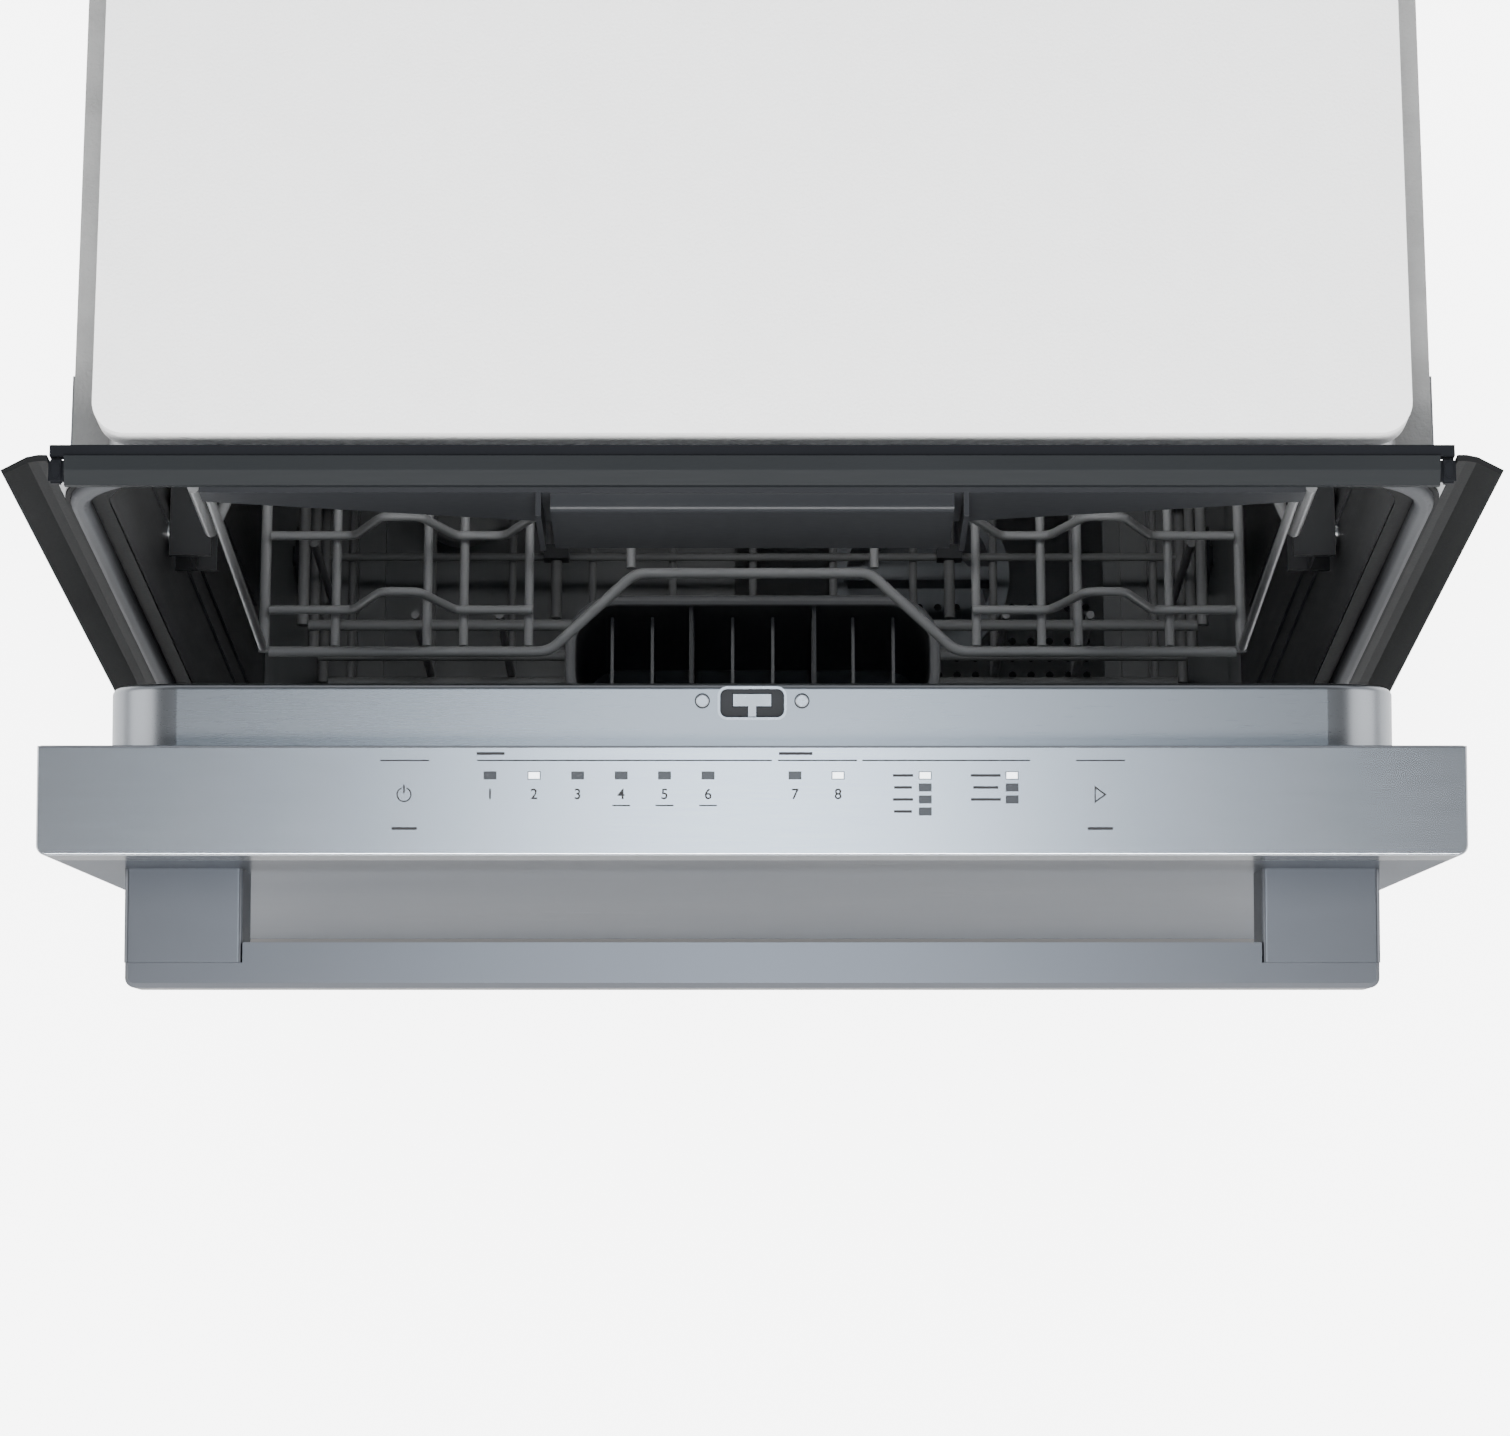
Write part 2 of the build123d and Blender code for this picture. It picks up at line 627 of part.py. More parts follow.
drain_z = tray_z + DRAIN_PUMP_R
drain = rod((DRAIN_PUMP_X[0], DRAIN_PUMP_Y, drain_z), (DRAIN_PUMP_X[1], DRAIN_PUMP_Y, drain_z), DRAIN_PUMP_R)
drain_stub, drain_bore = stub(DRAIN_AT, DRAIN_PUMP_Y, DRAIN_R, DRAIN_BORE_Y)
add("drain_pump", drain + drain_stub - drain_bore)
valve_x = (INLET_AT[0] - VALVE_HALF, INLET_AT[0] + VALVE_HALF)
valve = block(valve_x, (VALVE_Y, inner_y[1]), (tray_z, tray_z + VALVE_H))
inlet_stub, inlet_bore = stub(INLET_AT, inner_y[1], INLET_R, INLET_BORE_Y)
add("inlet_valve", valve + inlet_stub - inlet_bore)
gland_x, gland_z = GLAND_AT
gland = rod((gland_x, GLAND_Y[0], gland_z), (gland_x, GLAND_Y[2], gland_z), GLAND_R[1])
gland += rod((gland_x, BASE_REAR, gland_z), (gland_x, GLAND_Y[1], gland_z), GLAND_R[2])
gland -= rod((gland_x, GLAND_Y[0] - CUT, gland_z), (gland_x, GLAND_Y[2] + CUT, gland_z), GLAND_R[0])
add("cable_gland", gland)

# Spray riser with its ceiling run and nozzle, and the lower spray post
riser_top = TUB_TOP - CEILING_GAP
riser = block((-RISER_HALF, RISER_HALF), (RISER_FRONT, TUB_BACK - GAP), (FLOOR_Z, riser_top))
riser += block((-CEILING_HALF, CEILING_HALF), (POST_Y, RISER_FRONT + CUT), (CEILING_Z, riser_top))
nozzle = rod((0, POST_Y, NOZZLE_Z[0]), (0, POST_Y, NOZZLE_Z[1]), NOZZLE_R[0])
nozzle += rod((0, POST_Y, NOZZLE_Z[1]), (0, POST_Y, CEILING_Z), NOZZLE_R[1])
add("spray_riser", riser, nozzle)
post_base, post_neck, post_top = POST_Z
post = rod((0, POST_Y, recess_z), (0, POST_Y, post_base), POST_BASE_R)
post += rod((0, POST_Y, post_base), (0, POST_Y, post_neck), POST_R)
post += rod((0, POST_Y, post_neck), (0, POST_Y, post_top), POST_CAP_R)
add("spray_post", post)


# A spray arm with tapered wings and a bored hub
def spray_arm(y, z, height, hub_r, hub_z, bore):
    wing = extrude(Pos(0, y, z) * SlotOverall(ARM_LENGTH, ARM_W), amount=height)
    wing = fillet(wing.edges().group_by(Axis.Z)[-1], ARM_ROUND)
    wing = wing.rotate(Axis((0, y, 0), (0, 0, 1)), ARM_TURN)
    arm = wing + rod((0, y, hub_z[0]), (0, y, hub_z[1]), hub_r)
    return arm - rod((0, y, hub_z[0] - THROUGH), (0, y, hub_z[1] + THROUGH), bore)


hub_z = (post_base + ARM_PLAY, post_neck - ARM_PLAY)
lower_bore = POST_R + PIN_CLEAR
add("lower_spray_arm", spray_arm(POST_Y, ARM_Z_LOWER, ARM_H_LOWER, ARM_HUB_LOWER, hub_z, lower_bore))

# Tub rollers on pins, and the telescoping rails
pins = []
for number, y in enumerate(TUB_ROLLER_Y):
    roller = rod((TUB_ROLLER_X[0], y, RAIL_Z), (TUB_ROLLER_X[1], y, RAIL_Z), ROLLER_R)
    ends = [(x, y, RAIL_Z) for x in (TUB_ROLLER_X[0] - CUT, TUB_ROLLER_X[1] + CUT)]
    roller -= rod(*ends, ROLLER_PIN_R + PIN_CLEAR)
    add(("tub_rollers_front", "tub_rollers_rear")[number], *both(roller))
    pin = rod((RAIL_WEB[1] + GAP, y, RAIL_Z), (TUB_HALF, y, RAIL_Z), ROLLER_PIN_R)
    pin += rod((TUB_ROLLER_X[1] + GAP, y, RAIL_Z), (TUB_HALF, y, RAIL_Z), ROLLER_SHOULDER_R)
    pins.extend(both(pin))
add("roller_pins", *pins)
slot_half = RAIL_SLOT / 2
rail = block(RAIL_X, RAIL_Y, (RAIL_Z - slot_half - RAIL_FLANGE, RAIL_Z + slot_half + RAIL_FLANGE))
slot_y = (RAIL_Y[0] - CUT, RAIL_Y[1] + CUT)
for xs in ((RAIL_X[0] - CUT, RAIL_WEB[0]), (RAIL_WEB[1], RAIL_X[1] + CUT)):
    rail -= block(xs, slot_y, (RAIL_Z - slot_half, RAIL_Z + slot_half))
add("rack_rails", *both(rail))

# Upper rack wires
wires = []
notch = ((NOTCH_X[1], UPPER_FRONT), (NOTCH_X[0], UPPER_FRONT + NOTCH_D))
edge_x = UPPER_HALF - RIM_R - SEAT
front_half = [(edge_x, UPPER_FRONT), *notch]
front = [(-x, y, UPPER_Z) for x, y in front_half] + [(x, y, UPPER_Z) for x, y in reversed(front_half)]
wires.append(wire(front, RIM_R, NOTCH_BEND))
for x in UPPER_RUNS:
    start = UPPER_FRONT if x > NOTCH_X[1] else UPPER_FRONT + NOTCH_D
    run = rod((x, start + RIM_R + SEAT, UPPER_Z), (x, UPPER_REAR - RIM_R - SEAT, UPPER_Z), WIRE_R)
    wires.extend(both(run))
side_run = rod((UPPER_HALF, UPPER_FRONT, UPPER_Z), (UPPER_HALF, UPPER_REAR, UPPER_Z), RIM_R)
wires.extend(both(side_run))
for z in (UPPER_Z, UPPER_RIM_Z):
    wires.append(rod((-edge_x, UPPER_REAR, z), (edge_x, UPPER_REAR, z), RIM_R))
low = UPPER_Z + 2 * WIRE_R + SEAT
high = low + WAVE_RISE
wave_half = []
for peak in WAVE_PEAKS:
    wave_half += [(peak - WAVE_FOOT, low), (peak - WAVE_CREST, high)]
    wave_half += [(peak + WAVE_CREST, high), (peak + WAVE_FOOT, low)]
outer_wave = wave_half[-4:]
wave_half.append((edge_x, low))
for row in range(WAVE_COUNT):
    y = WAVE_FIRST + row * WAVE_STEP
    wave = [(-x, y, z) for x, z in reversed(wave_half)] + [(x, y, z) for x, z in wave_half]
    wires.append(wire(wave, WIRE_R, WAVE_BEND))
short_half = [(edge_x, low), *reversed(outer_wave), (SHORT_WAVE_X, low)]
short = [(x, UPPER_FRONT + SHORT_WAVE_D, z) for x, z in short_half]
wires.extend(both(wire(short, WIRE_R, WAVE_BEND)))
upright = (UPPER_Z + RIM_R + SEAT, UPPER_RIM_Z - RIM_R - SEAT)
for y in SIDE_UPRIGHT_Y:
    wires.extend(both(rod((UPPER_HALF, y, upright[0]), (UPPER_HALF, y, upright[1]), WIRE_R)))
for x in REAR_UPRIGHT_X:
    wires.append(rod((x, UPPER_REAR, upright[0]), (x, UPPER_REAR, upright[1]), WIRE_R))
side_post = (
    (SHOULDER_X, SHOULDER_Y[0], SHOULDER_Z[1]), (SHOULDER_X, SHOULDER_Y[0], SHOULDER_Z[0]),
    (UPPER_HALF, SHOULDER_Y[1], UPPER_RIM_Z),
)
wires.extend(both(wire(side_post, RIM_R, SHOULDER_BEND)))
side_rim = rod((UPPER_HALF, RIM_START, UPPER_RIM_Z), (UPPER_HALF, UPPER_REAR, UPPER_RIM_Z), RIM_R)
wires.extend(both(side_rim))
corner_rod = rod((*CORNER_ROD[0], upright[0]), (*CORNER_ROD[1], TRIM_END_Z - CORNER_ROD_DROP), WIRE_R)
wires.extend(both(corner_rod))
add("upper_rack", *wires)

# Front trim of the upper rack with its grip
trim_half = SHOULDER_X - RIM_R - RUN_GAP
trim_points = (
    (-trim_half, TRIM_TOP), (trim_half, TRIM_TOP), (trim_half, TRIM_END_Z),
    (TRIM_MID_HALF, TRIM_MID_Z), (-TRIM_MID_HALF, TRIM_MID_Z), (-trim_half, TRIM_END_Z),
)
trim_face = Plane.XZ * make_face(Polyline(*trim_points, close=True))
trim = Pos(0, TRIM_Y[1], 0) * extrude(trim_face, amount=TRIM_Y[1] - TRIM_Y[0])
grip = block((-GRIP_HALF, GRIP_HALF), GRIP_Y, GRIP_Z)
grip = fillet(grip.edges().filter_by(Axis.X), GRIP_ROUND)
trim += grip
for fin in both(block(FIN_X, FIN_Y, (FIN_Z, TRIM_TOP))):
    trim += fin
add("upper_trim", trim)

# Wheel carriers and wheels of the upper rack
carriers = []
for number, y in enumerate(RACK_ROLLER_Y):
    carrier_x = (UPPER_HALF + WIRE_R + RUN_GAP, CARRIER_X)
    carrier = block(carrier_x, (y - CARRIER_HALF, y + CARRIER_HALF), CARRIER_Z)
    carrier += rod((CARRIER_X, y, RAIL_Z), (RAIL_WEB[0] - GAP, y, RAIL_Z), ROLLER_PIN_R)
    carriers.extend(both(carrier))
    roller = rod((RACK_ROLLER_X[0], y, RAIL_Z), (RACK_ROLLER_X[1], y, RAIL_Z), ROLLER_R)
    bore_x = (RACK_ROLLER_X[0] - CUT, RACK_ROLLER_X[1] + CUT)
    roller -= rod((bore_x[0], y, RAIL_Z), (bore_x[1], y, RAIL_Z), ROLLER_PIN_R + PIN_CLEAR)
    add(("upper_wheels_front", "upper_wheels_rear")[number], *both(roller))
add("upper_wheel_carriers", *carriers)

# Feed tube and spray arm under the upper rack
tube_top = UPPER_Z - RIM_R - GAP
yoke_half, yoke_t, yoke_z = FEED_YOKE
cap_z, neck_z, hub_top = UPPER_POST_Z
feed = block((-FEED_HALF, FEED_HALF), (UPPER_ARM_Y, FEED_REAR), (FEED_Z, tube_top))
feed = fillet(feed.edges().filter_by(Axis.Y), FEED_ROUND)
feed += rod((0, UPPER_ARM_Y, hub_top), (0, UPPER_ARM_Y, tube_top), FEED_HUB_R)
feed += block((-yoke_half, yoke_half), (UPPER_ARM_Y - yoke_t, UPPER_ARM_Y + yoke_t), (yoke_z, tube_top))
feed += rod((0, UPPER_ARM_Y, neck_z), (0, UPPER_ARM_Y, hub_top), UPPER_POST_R)
feed += rod((0, UPPER_ARM_Y, cap_z), (0, UPPER_ARM_Y, neck_z), UPPER_CAP_R)
add("upper_feed_tube", feed)
upper_hub = (neck_z + ARM_PLAY, hub_top - ARM_PLAY)
upper_bore = UPPER_POST_R + PIN_CLEAR
add("upper_spray_arm", spray_arm(UPPER_ARM_Y, ARM_Z_UPPER, ARM_H_UPPER, ARM_HUB_UPPER, upper_hub, upper_bore))

# Lower rack wires
wires = []
for number in range(LOWER_RUN_COUNT):
    x = LOWER_RUN_FIRST + LOWER_RUN_STEP * number
    wires.append(rod((x, LOWER_FRONT, LOWER_Z), (x, LOWER_REAR, LOWER_Z), WIRE_R))
cross_z = LOWER_Z + 2 * WIRE_R + SEAT
cross_half = LOWER_HALF - CROSS_END
cross_rows = [CROSS_FIRST + CROSS_STEP * number for number in range(CROSS_COUNT)]
for y in cross_rows:
    wires.append(rod((-cross_half, y, cross_z), (cross_half, y, cross_z), WIRE_R))
span = LOWER_HALF - LOWER_RIM_R - SEAT
for y in (LOWER_FRONT, LOWER_REAR):
    for z in (cross_z + END_LIFT, LOWER_MID_Z, LOWER_RIM_Z):
        wires.append(rod((-span, y, z), (span, y, z), LOWER_RIM_R))
for z in (cross_z, LOWER_MID_Z, LOWER_RIM_Z):
    wires.extend(both(rod((LOWER_HALF, LOWER_FRONT, z), (LOWER_HALF, LOWER_REAR, z), LOWER_RIM_R)))
inner = LOWER_HALF - LOWER_RIM_R - WIRE_R - SEAT
side_z = (cross_z + WIRE_R + RUN_GAP, LOWER_RIM_Z + UPRIGHT_OVER)
for number in range(SIDE_COUNT):
    y = SIDE_FIRST + CROSS_STEP * number
    wires.extend(both(rod((inner, y, side_z[0]), (inner, y, side_z[1]), WIRE_R)))
end_inset = LOWER_RIM_R + WIRE_R + SEAT
for number in range(END_COUNT):
    x = END_FIRST + LOWER_RUN_STEP * number
    for y in (LOWER_FRONT + end_inset, LOWER_REAR - end_inset):
        wires.append(rod((x, y, LOWER_Z + WIRE_R + SEAT), (x, y, LOWER_RIM_Z + UPRIGHT_OVER), WIRE_R))
add("lower_rack", *wires)

# Wheel carriers and wheels of the lower rack
lower_clips = []
wheel_z = LEDGE_Z + GAP + WHEEL_R
for number, y in enumerate(WHEEL_Y):
    hub_x = WHEEL_X[0] - GAP
    clip_x = (LOWER_HALF + LOWER_RIM_R + RUN_GAP, hub_x)
    clip_y = (y - WHEEL_CLIP_HALF, y + WHEEL_CLIP_HALF)
    head_x = [WHEEL_X[1] + step for step in AXLE_HEAD]
    clip = block(clip_x, clip_y, (wheel_z - WHEEL_CLIP_DROP, WHEEL_CLIP_TOP))
    clip += rod((hub_x, y, wheel_z), (head_x[1], y, wheel_z), AXLE_R)
    clip += rod((head_x[0], y, wheel_z), (head_x[1], y, wheel_z), AXLE_HEAD_R)
    lower_clips.extend(both(clip))
    wheel = rod((WHEEL_X[0], y, wheel_z), (WHEEL_X[1], y, wheel_z), WHEEL_R)
    wheel -= rod((WHEEL_X[0] - CUT, y, wheel_z), (WHEEL_X[1] + CUT, y, wheel_z), AXLE_R + PIN_CLEAR)
    add(("lower_wheels_front", "lower_wheels_rear")[number], *both(wheel))

# Fold-down tine rows in their clips
comb = rod((TINE_X, TINE_Y[0], TINE_Z), (TINE_X, TINE_Y[1], TINE_Z), TINE_ROD_R)
for number in range(TINE_COUNT):
    y = TINE_FIRST + TINE_STEP * number
    comb += rod((TINE_X, y, TINE_Z), (TINE_X, y, TINE_TOP), TINE_R)
combs = both(comb)
add("fold_tines_right", combs[0])
add("fold_tines_left", combs[1])
clip_half, clip_t, clip_rise = TINE_CLIP
for row in TINE_CLIP_ROWS:
    y = cross_rows[row]
    clip_z = (cross_z + WIRE_R + SEAT, TINE_Z + clip_rise)
    clip = block((TINE_X - clip_half, TINE_X + clip_half), (y - clip_t, y + clip_t), clip_z)
    clip -= rod((TINE_X, y - clip_t - CUT, TINE_Z), (TINE_X, y + clip_t + CUT, TINE_Z), TINE_ROD_R + PIN_CLEAR)
    lower_clips.extend(both(clip))
add("lower_rack_clips", *lower_clips)

# Cutlery basket hooked over the lower rack's front rim
basket = block((-CUTLERY_HALF, CUTLERY_HALF), CUTLERY_Y, CUTLERY_Z)
basket = fillet(basket.edges().filter_by(Axis.Z), CUTLERY_R)
hollow_x = CUTLERY_HALF - CUTLERY_WALL
hollow_y = (CUTLERY_Y[0] + CUTLERY_WALL, CUTLERY_Y[1] - CUTLERY_WALL)
hollow = block((-hollow_x, hollow_x), hollow_y, (CUTLERY_Z[0] + CUTLERY_WALL, CUTLERY_Z[1] + CUT))
basket -= fillet(hollow.edges().filter_by(Axis.Z), CUTLERY_R - CUTLERY_WALL)
partition_z = (CUTLERY_Z[0] + CUT, CUTLERY_Z[1] - PARTITION_DROP)
for x in PARTITION_X:
    basket += block((x - PARTITION_HALF, x + PARTITION_HALF), hollow_y, partition_z)
hook_z = LOWER_RIM_Z + LOWER_RIM_R + GAP
hook_y = (CUTLERY_Y[1] - CUT, LOWER_FRONT + HOOK_REACH)
for x in HOOK_X:
    basket += block((x - HOOK_HALF, x + HOOK_HALF), hook_y, (hook_z, hook_z + HOOK_T))
add("cutlery_basket", basket)

# Door outer panel
front_u = DOOR_BACK + DOOR_T
half_door = DOOR_W / 2
fascia_z = DOOR_TOP - FASCIA_H
skin = block((-half_door, half_door), fwd(DOOR_BACK, front_u), (DOOR_BOTTOM, fascia_z - GAP))
skin = fillet(skin.edges().filter_by(Axis.Z).group_by(Axis.Y)[0], CORNER_R)
skin_half = half_door - SHEET
hollow = block((-skin_half, skin_half), fwd(0, front_u - SHEET), (0, DOOR_TOP))
skin -= fillet(hollow.edges().filter_by(Axis.Z).group_by(Axis.Y)[0], CORNER_R - SHEET)
handle_top = DOOR_TOP - HANDLE_DROP
handle_mid = handle_top - HANDLE_H / 2
screw_x = (BRACKET_X[0] + BRACKET_X[1]) / 2
screw_z = (handle_mid - HANDLE_SCREW_OFF, handle_mid + HANDLE_SCREW_OFF)
screw_at = [(x, z) for x in (-screw_x, screw_x) for z in screw_z]
bracket = block(BRACKET_X, fwd(front_u, front_u + BRACKET_REACH), (handle_top - HANDLE_H, handle_top))
brackets = both(fillet(bracket.edges().filter_by(Axis.Y), BRACKET_ROUND))
screws = []
head_y = -front_u + SHEET
for x, z in screw_at:
    tip = (x, -front_u - HANDLE_SCREW_IN, z)
    hole = rod((x, tip[1] - CUT, z), (x, 0, z), SCREW_R + SCREW_CLEAR)
    skin -= hole
    brackets = [piece - hole for piece in brackets]
    head = rod((x, head_y, z), (x, head_y + HANDLE_HEAD_H, z), HEAD_R)
    screws.append(head + rod(tip, (x, head_y, z), SCREW_R))
add_door("door_outer_panel", skin)
add_door("handle_brackets", *brackets)
add_door("handle_screws", *screws)

# Handle bar, notched over its brackets
bar_u = (front_u + BAR_BACK, front_u + BAR_FRONT)
bar = block((-BRACKET_X[1], BRACKET_X[1]), fwd(*bar_u), (handle_top - HANDLE_H, handle_top))
bar = fillet(bar.edges().filter_by(Axis.Z).group_by(Axis.Y)[0], CORNER_R)
bar = chamfer(bar.edges().group_by(Axis.Y)[0].filter_by(Axis.X), *BAR_CHAMFER)
seam = front_u + BRACKET_REACH + SEAT
for notch in both(block((BRACKET_X[0] - RUN_GAP, half_door), fwd(front_u, seam), (0, DOOR_TOP))):
    bar -= notch
add_door("handle_bar", bar)

# Inner door pan with its flange, latch slot and dispenser opening
pan = block((-PAN_HALF, PAN_HALF), fwd(-PAN_FACE, DOOR_BACK), (PAN_BOTTOM, PAN_TOP))
pan = fillet(pan.edges().filter_by(Axis.Y), PAN_R)
pan = fillet(pan.edges().group_by(Axis.Y)[-1], PAN_EDGE_R)
hollow_half = PAN_HALF - LINER_T
hollow_z = (PAN_BOTTOM + LINER_T, PAN_TOP - LINER_T)
hollow = block((-hollow_half, hollow_half), fwd(LINER_T - PAN_FACE, DOOR_BACK), hollow_z)
hollow = fillet(hollow.edges().filter_by(Axis.Y), PAN_R - LINER_T)
liner = pan + block((-half_door, half_door), fwd(DOOR_BACK - LINER_T, DOOR_BACK), (LINER_BOTTOM, LINER_TOP))
liner -= hollow
slot = block((-SLOT_HALF, SLOT_HALF), fwd(*SLOT_U), (PAN_TOP - SLOT_DEPTH, PAN_TOP + CUT))
liner -= fillet(slot.edges().filter_by(Axis.Z), SLOT_R)
disp_hole = DISP_HALF + GAP
disp_z = (DISP_Z[0] - GAP, DISP_Z[1] + GAP)
liner -= block((-disp_hole, disp_hole), (PAN_FACE - DISP_CUT, PAN_FACE + CUT), disp_z)
plugs = []
for x in PLUG_X:
    foot, seat, top = [(x, PLUG_Y, z) for z in (PAN_TOP - PLUG_Z[0], PAN_TOP, PAN_TOP + PLUG_Z[1])]
    liner -= rod((x, PLUG_Y, PAN_TOP - SLOT_DEPTH), (x, PLUG_Y, PAN_TOP + CUT), PLUG_R[0] + SEAT)
    plugs.append(rod(seat, top, PLUG_R[1]) + rod(foot, seat, PLUG_R[0]))
add_door("door_liner", liner)

# Latch housing under the slot with its sliding T-shaped tongue
under_pan = PAN_TOP - LINER_T - GAP
tongue_z = (TONGUE_LOW, PAN_TOP - LINER_T)
stem_y, bar_y, tongue_end = TONGUE_Y
tongue_w, stem_w = TONGUE_HALF
tongue = block((-tongue_w, tongue_w), (bar_y, tongue_end), tongue_z)
tongue += block((-stem_w, stem_w), (stem_y, bar_y), tongue_z)
well_w = tongue_w + GAP
well_stem = stem_w + GAP
well = block((-well_w, well_w), (bar_y - GAP, tongue_end + GAP), WELL_Z)
well += block((-well_stem, well_stem), (stem_y - GAP, bar_y - GAP), WELL_Z)
housing_y = (HOUSING_Y, PAN_FACE - LINER_T - RUN_GAP)
housing = block((-HOUSING_HALF, HOUSING_HALF), housing_y, (HOUSING_Z, under_pan)) - well
add_door("latch_housing", housing, *plugs)
add_door("latch_tongue", tongue)

# Dispenser with its sliding lid and rinse-aid cap
face = PAN_FACE + DISP_FACE
frame_half = DISP_HALF + DISP_FRAME
cap_x, cap_z = CAP_AT
cap_hinge = cap_z + CAP_R + CAP_HINGE_OFF
hinge_y = face + CAP_HINGE_UP
disp = block((-DISP_HALF, DISP_HALF), (DISP_BACK, PAN_FACE), DISP_Z)
disp += block((-frame_half, frame_half), (PAN_FACE, face), (DISP_Z[0] - DISP_FRAME, DISP_Z[1] + DISP_FRAME))
disp -= block(CUP_X, (CUP_BACK, face + CUT), CUP_Z)
disp -= rod((cap_x, face - CAP_HOLE_D, cap_z), (cap_x, face + CUT, cap_z), CAP_HOLE_R)
for side in (-1, 1):
    ear_x = sorted(cap_x + side * reach for reach in EAR_X)
    disp += block(ear_x, (face - CUT, hinge_y + EAR_HALF), (cap_hinge - EAR_HALF, cap_hinge + EAR_HALF))
pin_ends = [(cap_x + side * CAP_PIN_HALF, hinge_y, cap_hinge) for side in (-1, 1)]
disp += rod(*pin_ends, CAP_PIN_R)
add_door("dispenser", disp)
grip_from, grip_to, grip_end, grip_h = LID_GRIP
lid_x = (CUP_X[0] - LID_LAP, CUP_X[1] + LID_LAP)
lid = block(lid_x, (face + GAP, face + LID_T), (CUP_Z[0] - LID_LAP, CUP_Z[1] + LID_LAP))
grip_z = (CUP_Z[0] + grip_end, CUP_Z[1] - grip_end)
lid += block((CUP_X[1] - grip_from, CUP_X[1] - grip_to), (face + LID_T, face + grip_h), grip_z)
add_door("dispenser_lid", fillet(lid.edges().filter_by(Axis.Y), LID_ROUND))
neck_half, neck_low = CAP_NECK
cap = rod((cap_x, face + GAP, cap_z), (cap_x, face + CAP_T, cap_z), CAP_R)
neck_y = (hinge_y - CUT, hinge_y + CUT)
cap += block((cap_x - neck_half, cap_x + neck_half), neck_y, (cap_z + neck_low, cap_hinge))
cap += rod((cap_x - neck_half, hinge_y, cap_hinge), (cap_x + neck_half, hinge_y, cap_hinge), CAP_KNUCKLE_R)
cap -= rod(*pin_ends, CAP_PIN_R + PIN_CLEAR)
add_door("rinse_aid_cap", cap)

# Control panel with indicator windows, board and fleece inside the door
fascia = block((-half_door, half_door), fwd(DOOR_BACK, front_u), (fascia_z, DOOR_TOP))
fascia = fillet(fascia.edges().filter_by(Axis.Z).group_by(Axis.Y)[0], CORNER_R)
fascia = fillet(fascia.edges().group_by(Axis.Z)[-1], FASCIA_ROUND)
hollow_x = half_door - FASCIA_WALL
hollow_u = (DOOR_BACK + FASCIA_WALL, front_u - FASCIA_WALL)
fascia -= block((-hollow_x, hollow_x), fwd(*hollow_u), (fascia_z - CUT, DOOR_TOP - FASCIA_WALL))
window_at = [(x, WINDOW_ROW) for x in PROGRAM_X + OPTION_X]
for x, count in STATE_COLUMNS:
    window_at += [(x, WINDOW_ROW - WINDOW_STEP * row) for row in range(count)]
windows = []
for x, back in window_at:
    y = -front_u + back
    hole = Pos(x, y, DOOR_TOP - WINDOW_HOLE_Z) * Box(*WINDOW, WINDOW_HOLE)
    fascia -= hole
    size = [side - 2 * WINDOW_CLEAR for side in WINDOW]
    windows.append(Pos(x, y, DOOR_TOP - FASCIA_WALL / 2) * Box(*size, FASCIA_WALL))
add_door("control_panel", fascia)
add_door("indicator_windows", *windows)
board_z = (BOARD_Z, DOOR_TOP - FASCIA_WALL - GAP)
add_door("control_board", block((-BOARD_HALF, BOARD_HALF), fwd(*BOARD_U), board_z))
fleece_u = (DOOR_FLEECE_U, front_u - SHEET - GAP)
add_door("door_fleece", block((-DOOR_FLEECE_HALF, DOOR_FLEECE_HALF), fwd(*fleece_u), DOOR_FLEECE_Z))

# Hinge arms inside the door
arm = block(ARM_PLATE, fwd(DOOR_BACK, ARM_U), ARM_Z)
arm -= rod((ARM_PLATE[0] - CUT, axis_y, HINGE_Z), (ARM_PLATE[1] + CUT, axis_y, HINGE_Z), PIN_R + PIN_CLEAR)
add_door("hinge_arms", *both(arm))

# Sets the middle of the footprint on the origin and writes every node
everything = Compound(children=[Compound(children=shapes) for shapes in nodes.values()])
limits = everything.bounding_box()
centre = Pos(0, -(limits.min.Y + limits.max.Y) / 2, 0)
for name, shapes in nodes.items():
    solids = []
    for shape in shapes:
        solids.extend((centre * shape).solids())
    result = solids[0] if len(solids) == 1 else Compound(children=solids)
    export_step(result, f"parts/{name}.step")
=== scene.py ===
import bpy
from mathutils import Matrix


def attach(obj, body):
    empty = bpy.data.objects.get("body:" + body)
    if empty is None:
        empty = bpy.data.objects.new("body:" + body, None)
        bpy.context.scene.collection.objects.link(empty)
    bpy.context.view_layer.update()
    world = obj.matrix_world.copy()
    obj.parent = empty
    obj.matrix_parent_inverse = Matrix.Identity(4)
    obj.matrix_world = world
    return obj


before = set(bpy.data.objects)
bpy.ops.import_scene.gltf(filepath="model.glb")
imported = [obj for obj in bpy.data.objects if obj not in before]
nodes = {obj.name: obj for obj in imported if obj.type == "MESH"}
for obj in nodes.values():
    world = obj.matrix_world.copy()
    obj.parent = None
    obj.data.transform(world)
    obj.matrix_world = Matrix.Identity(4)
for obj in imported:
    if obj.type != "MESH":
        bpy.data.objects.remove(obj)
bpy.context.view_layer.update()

import math
import bpy
import bmesh
from mathutils import Matrix, Vector

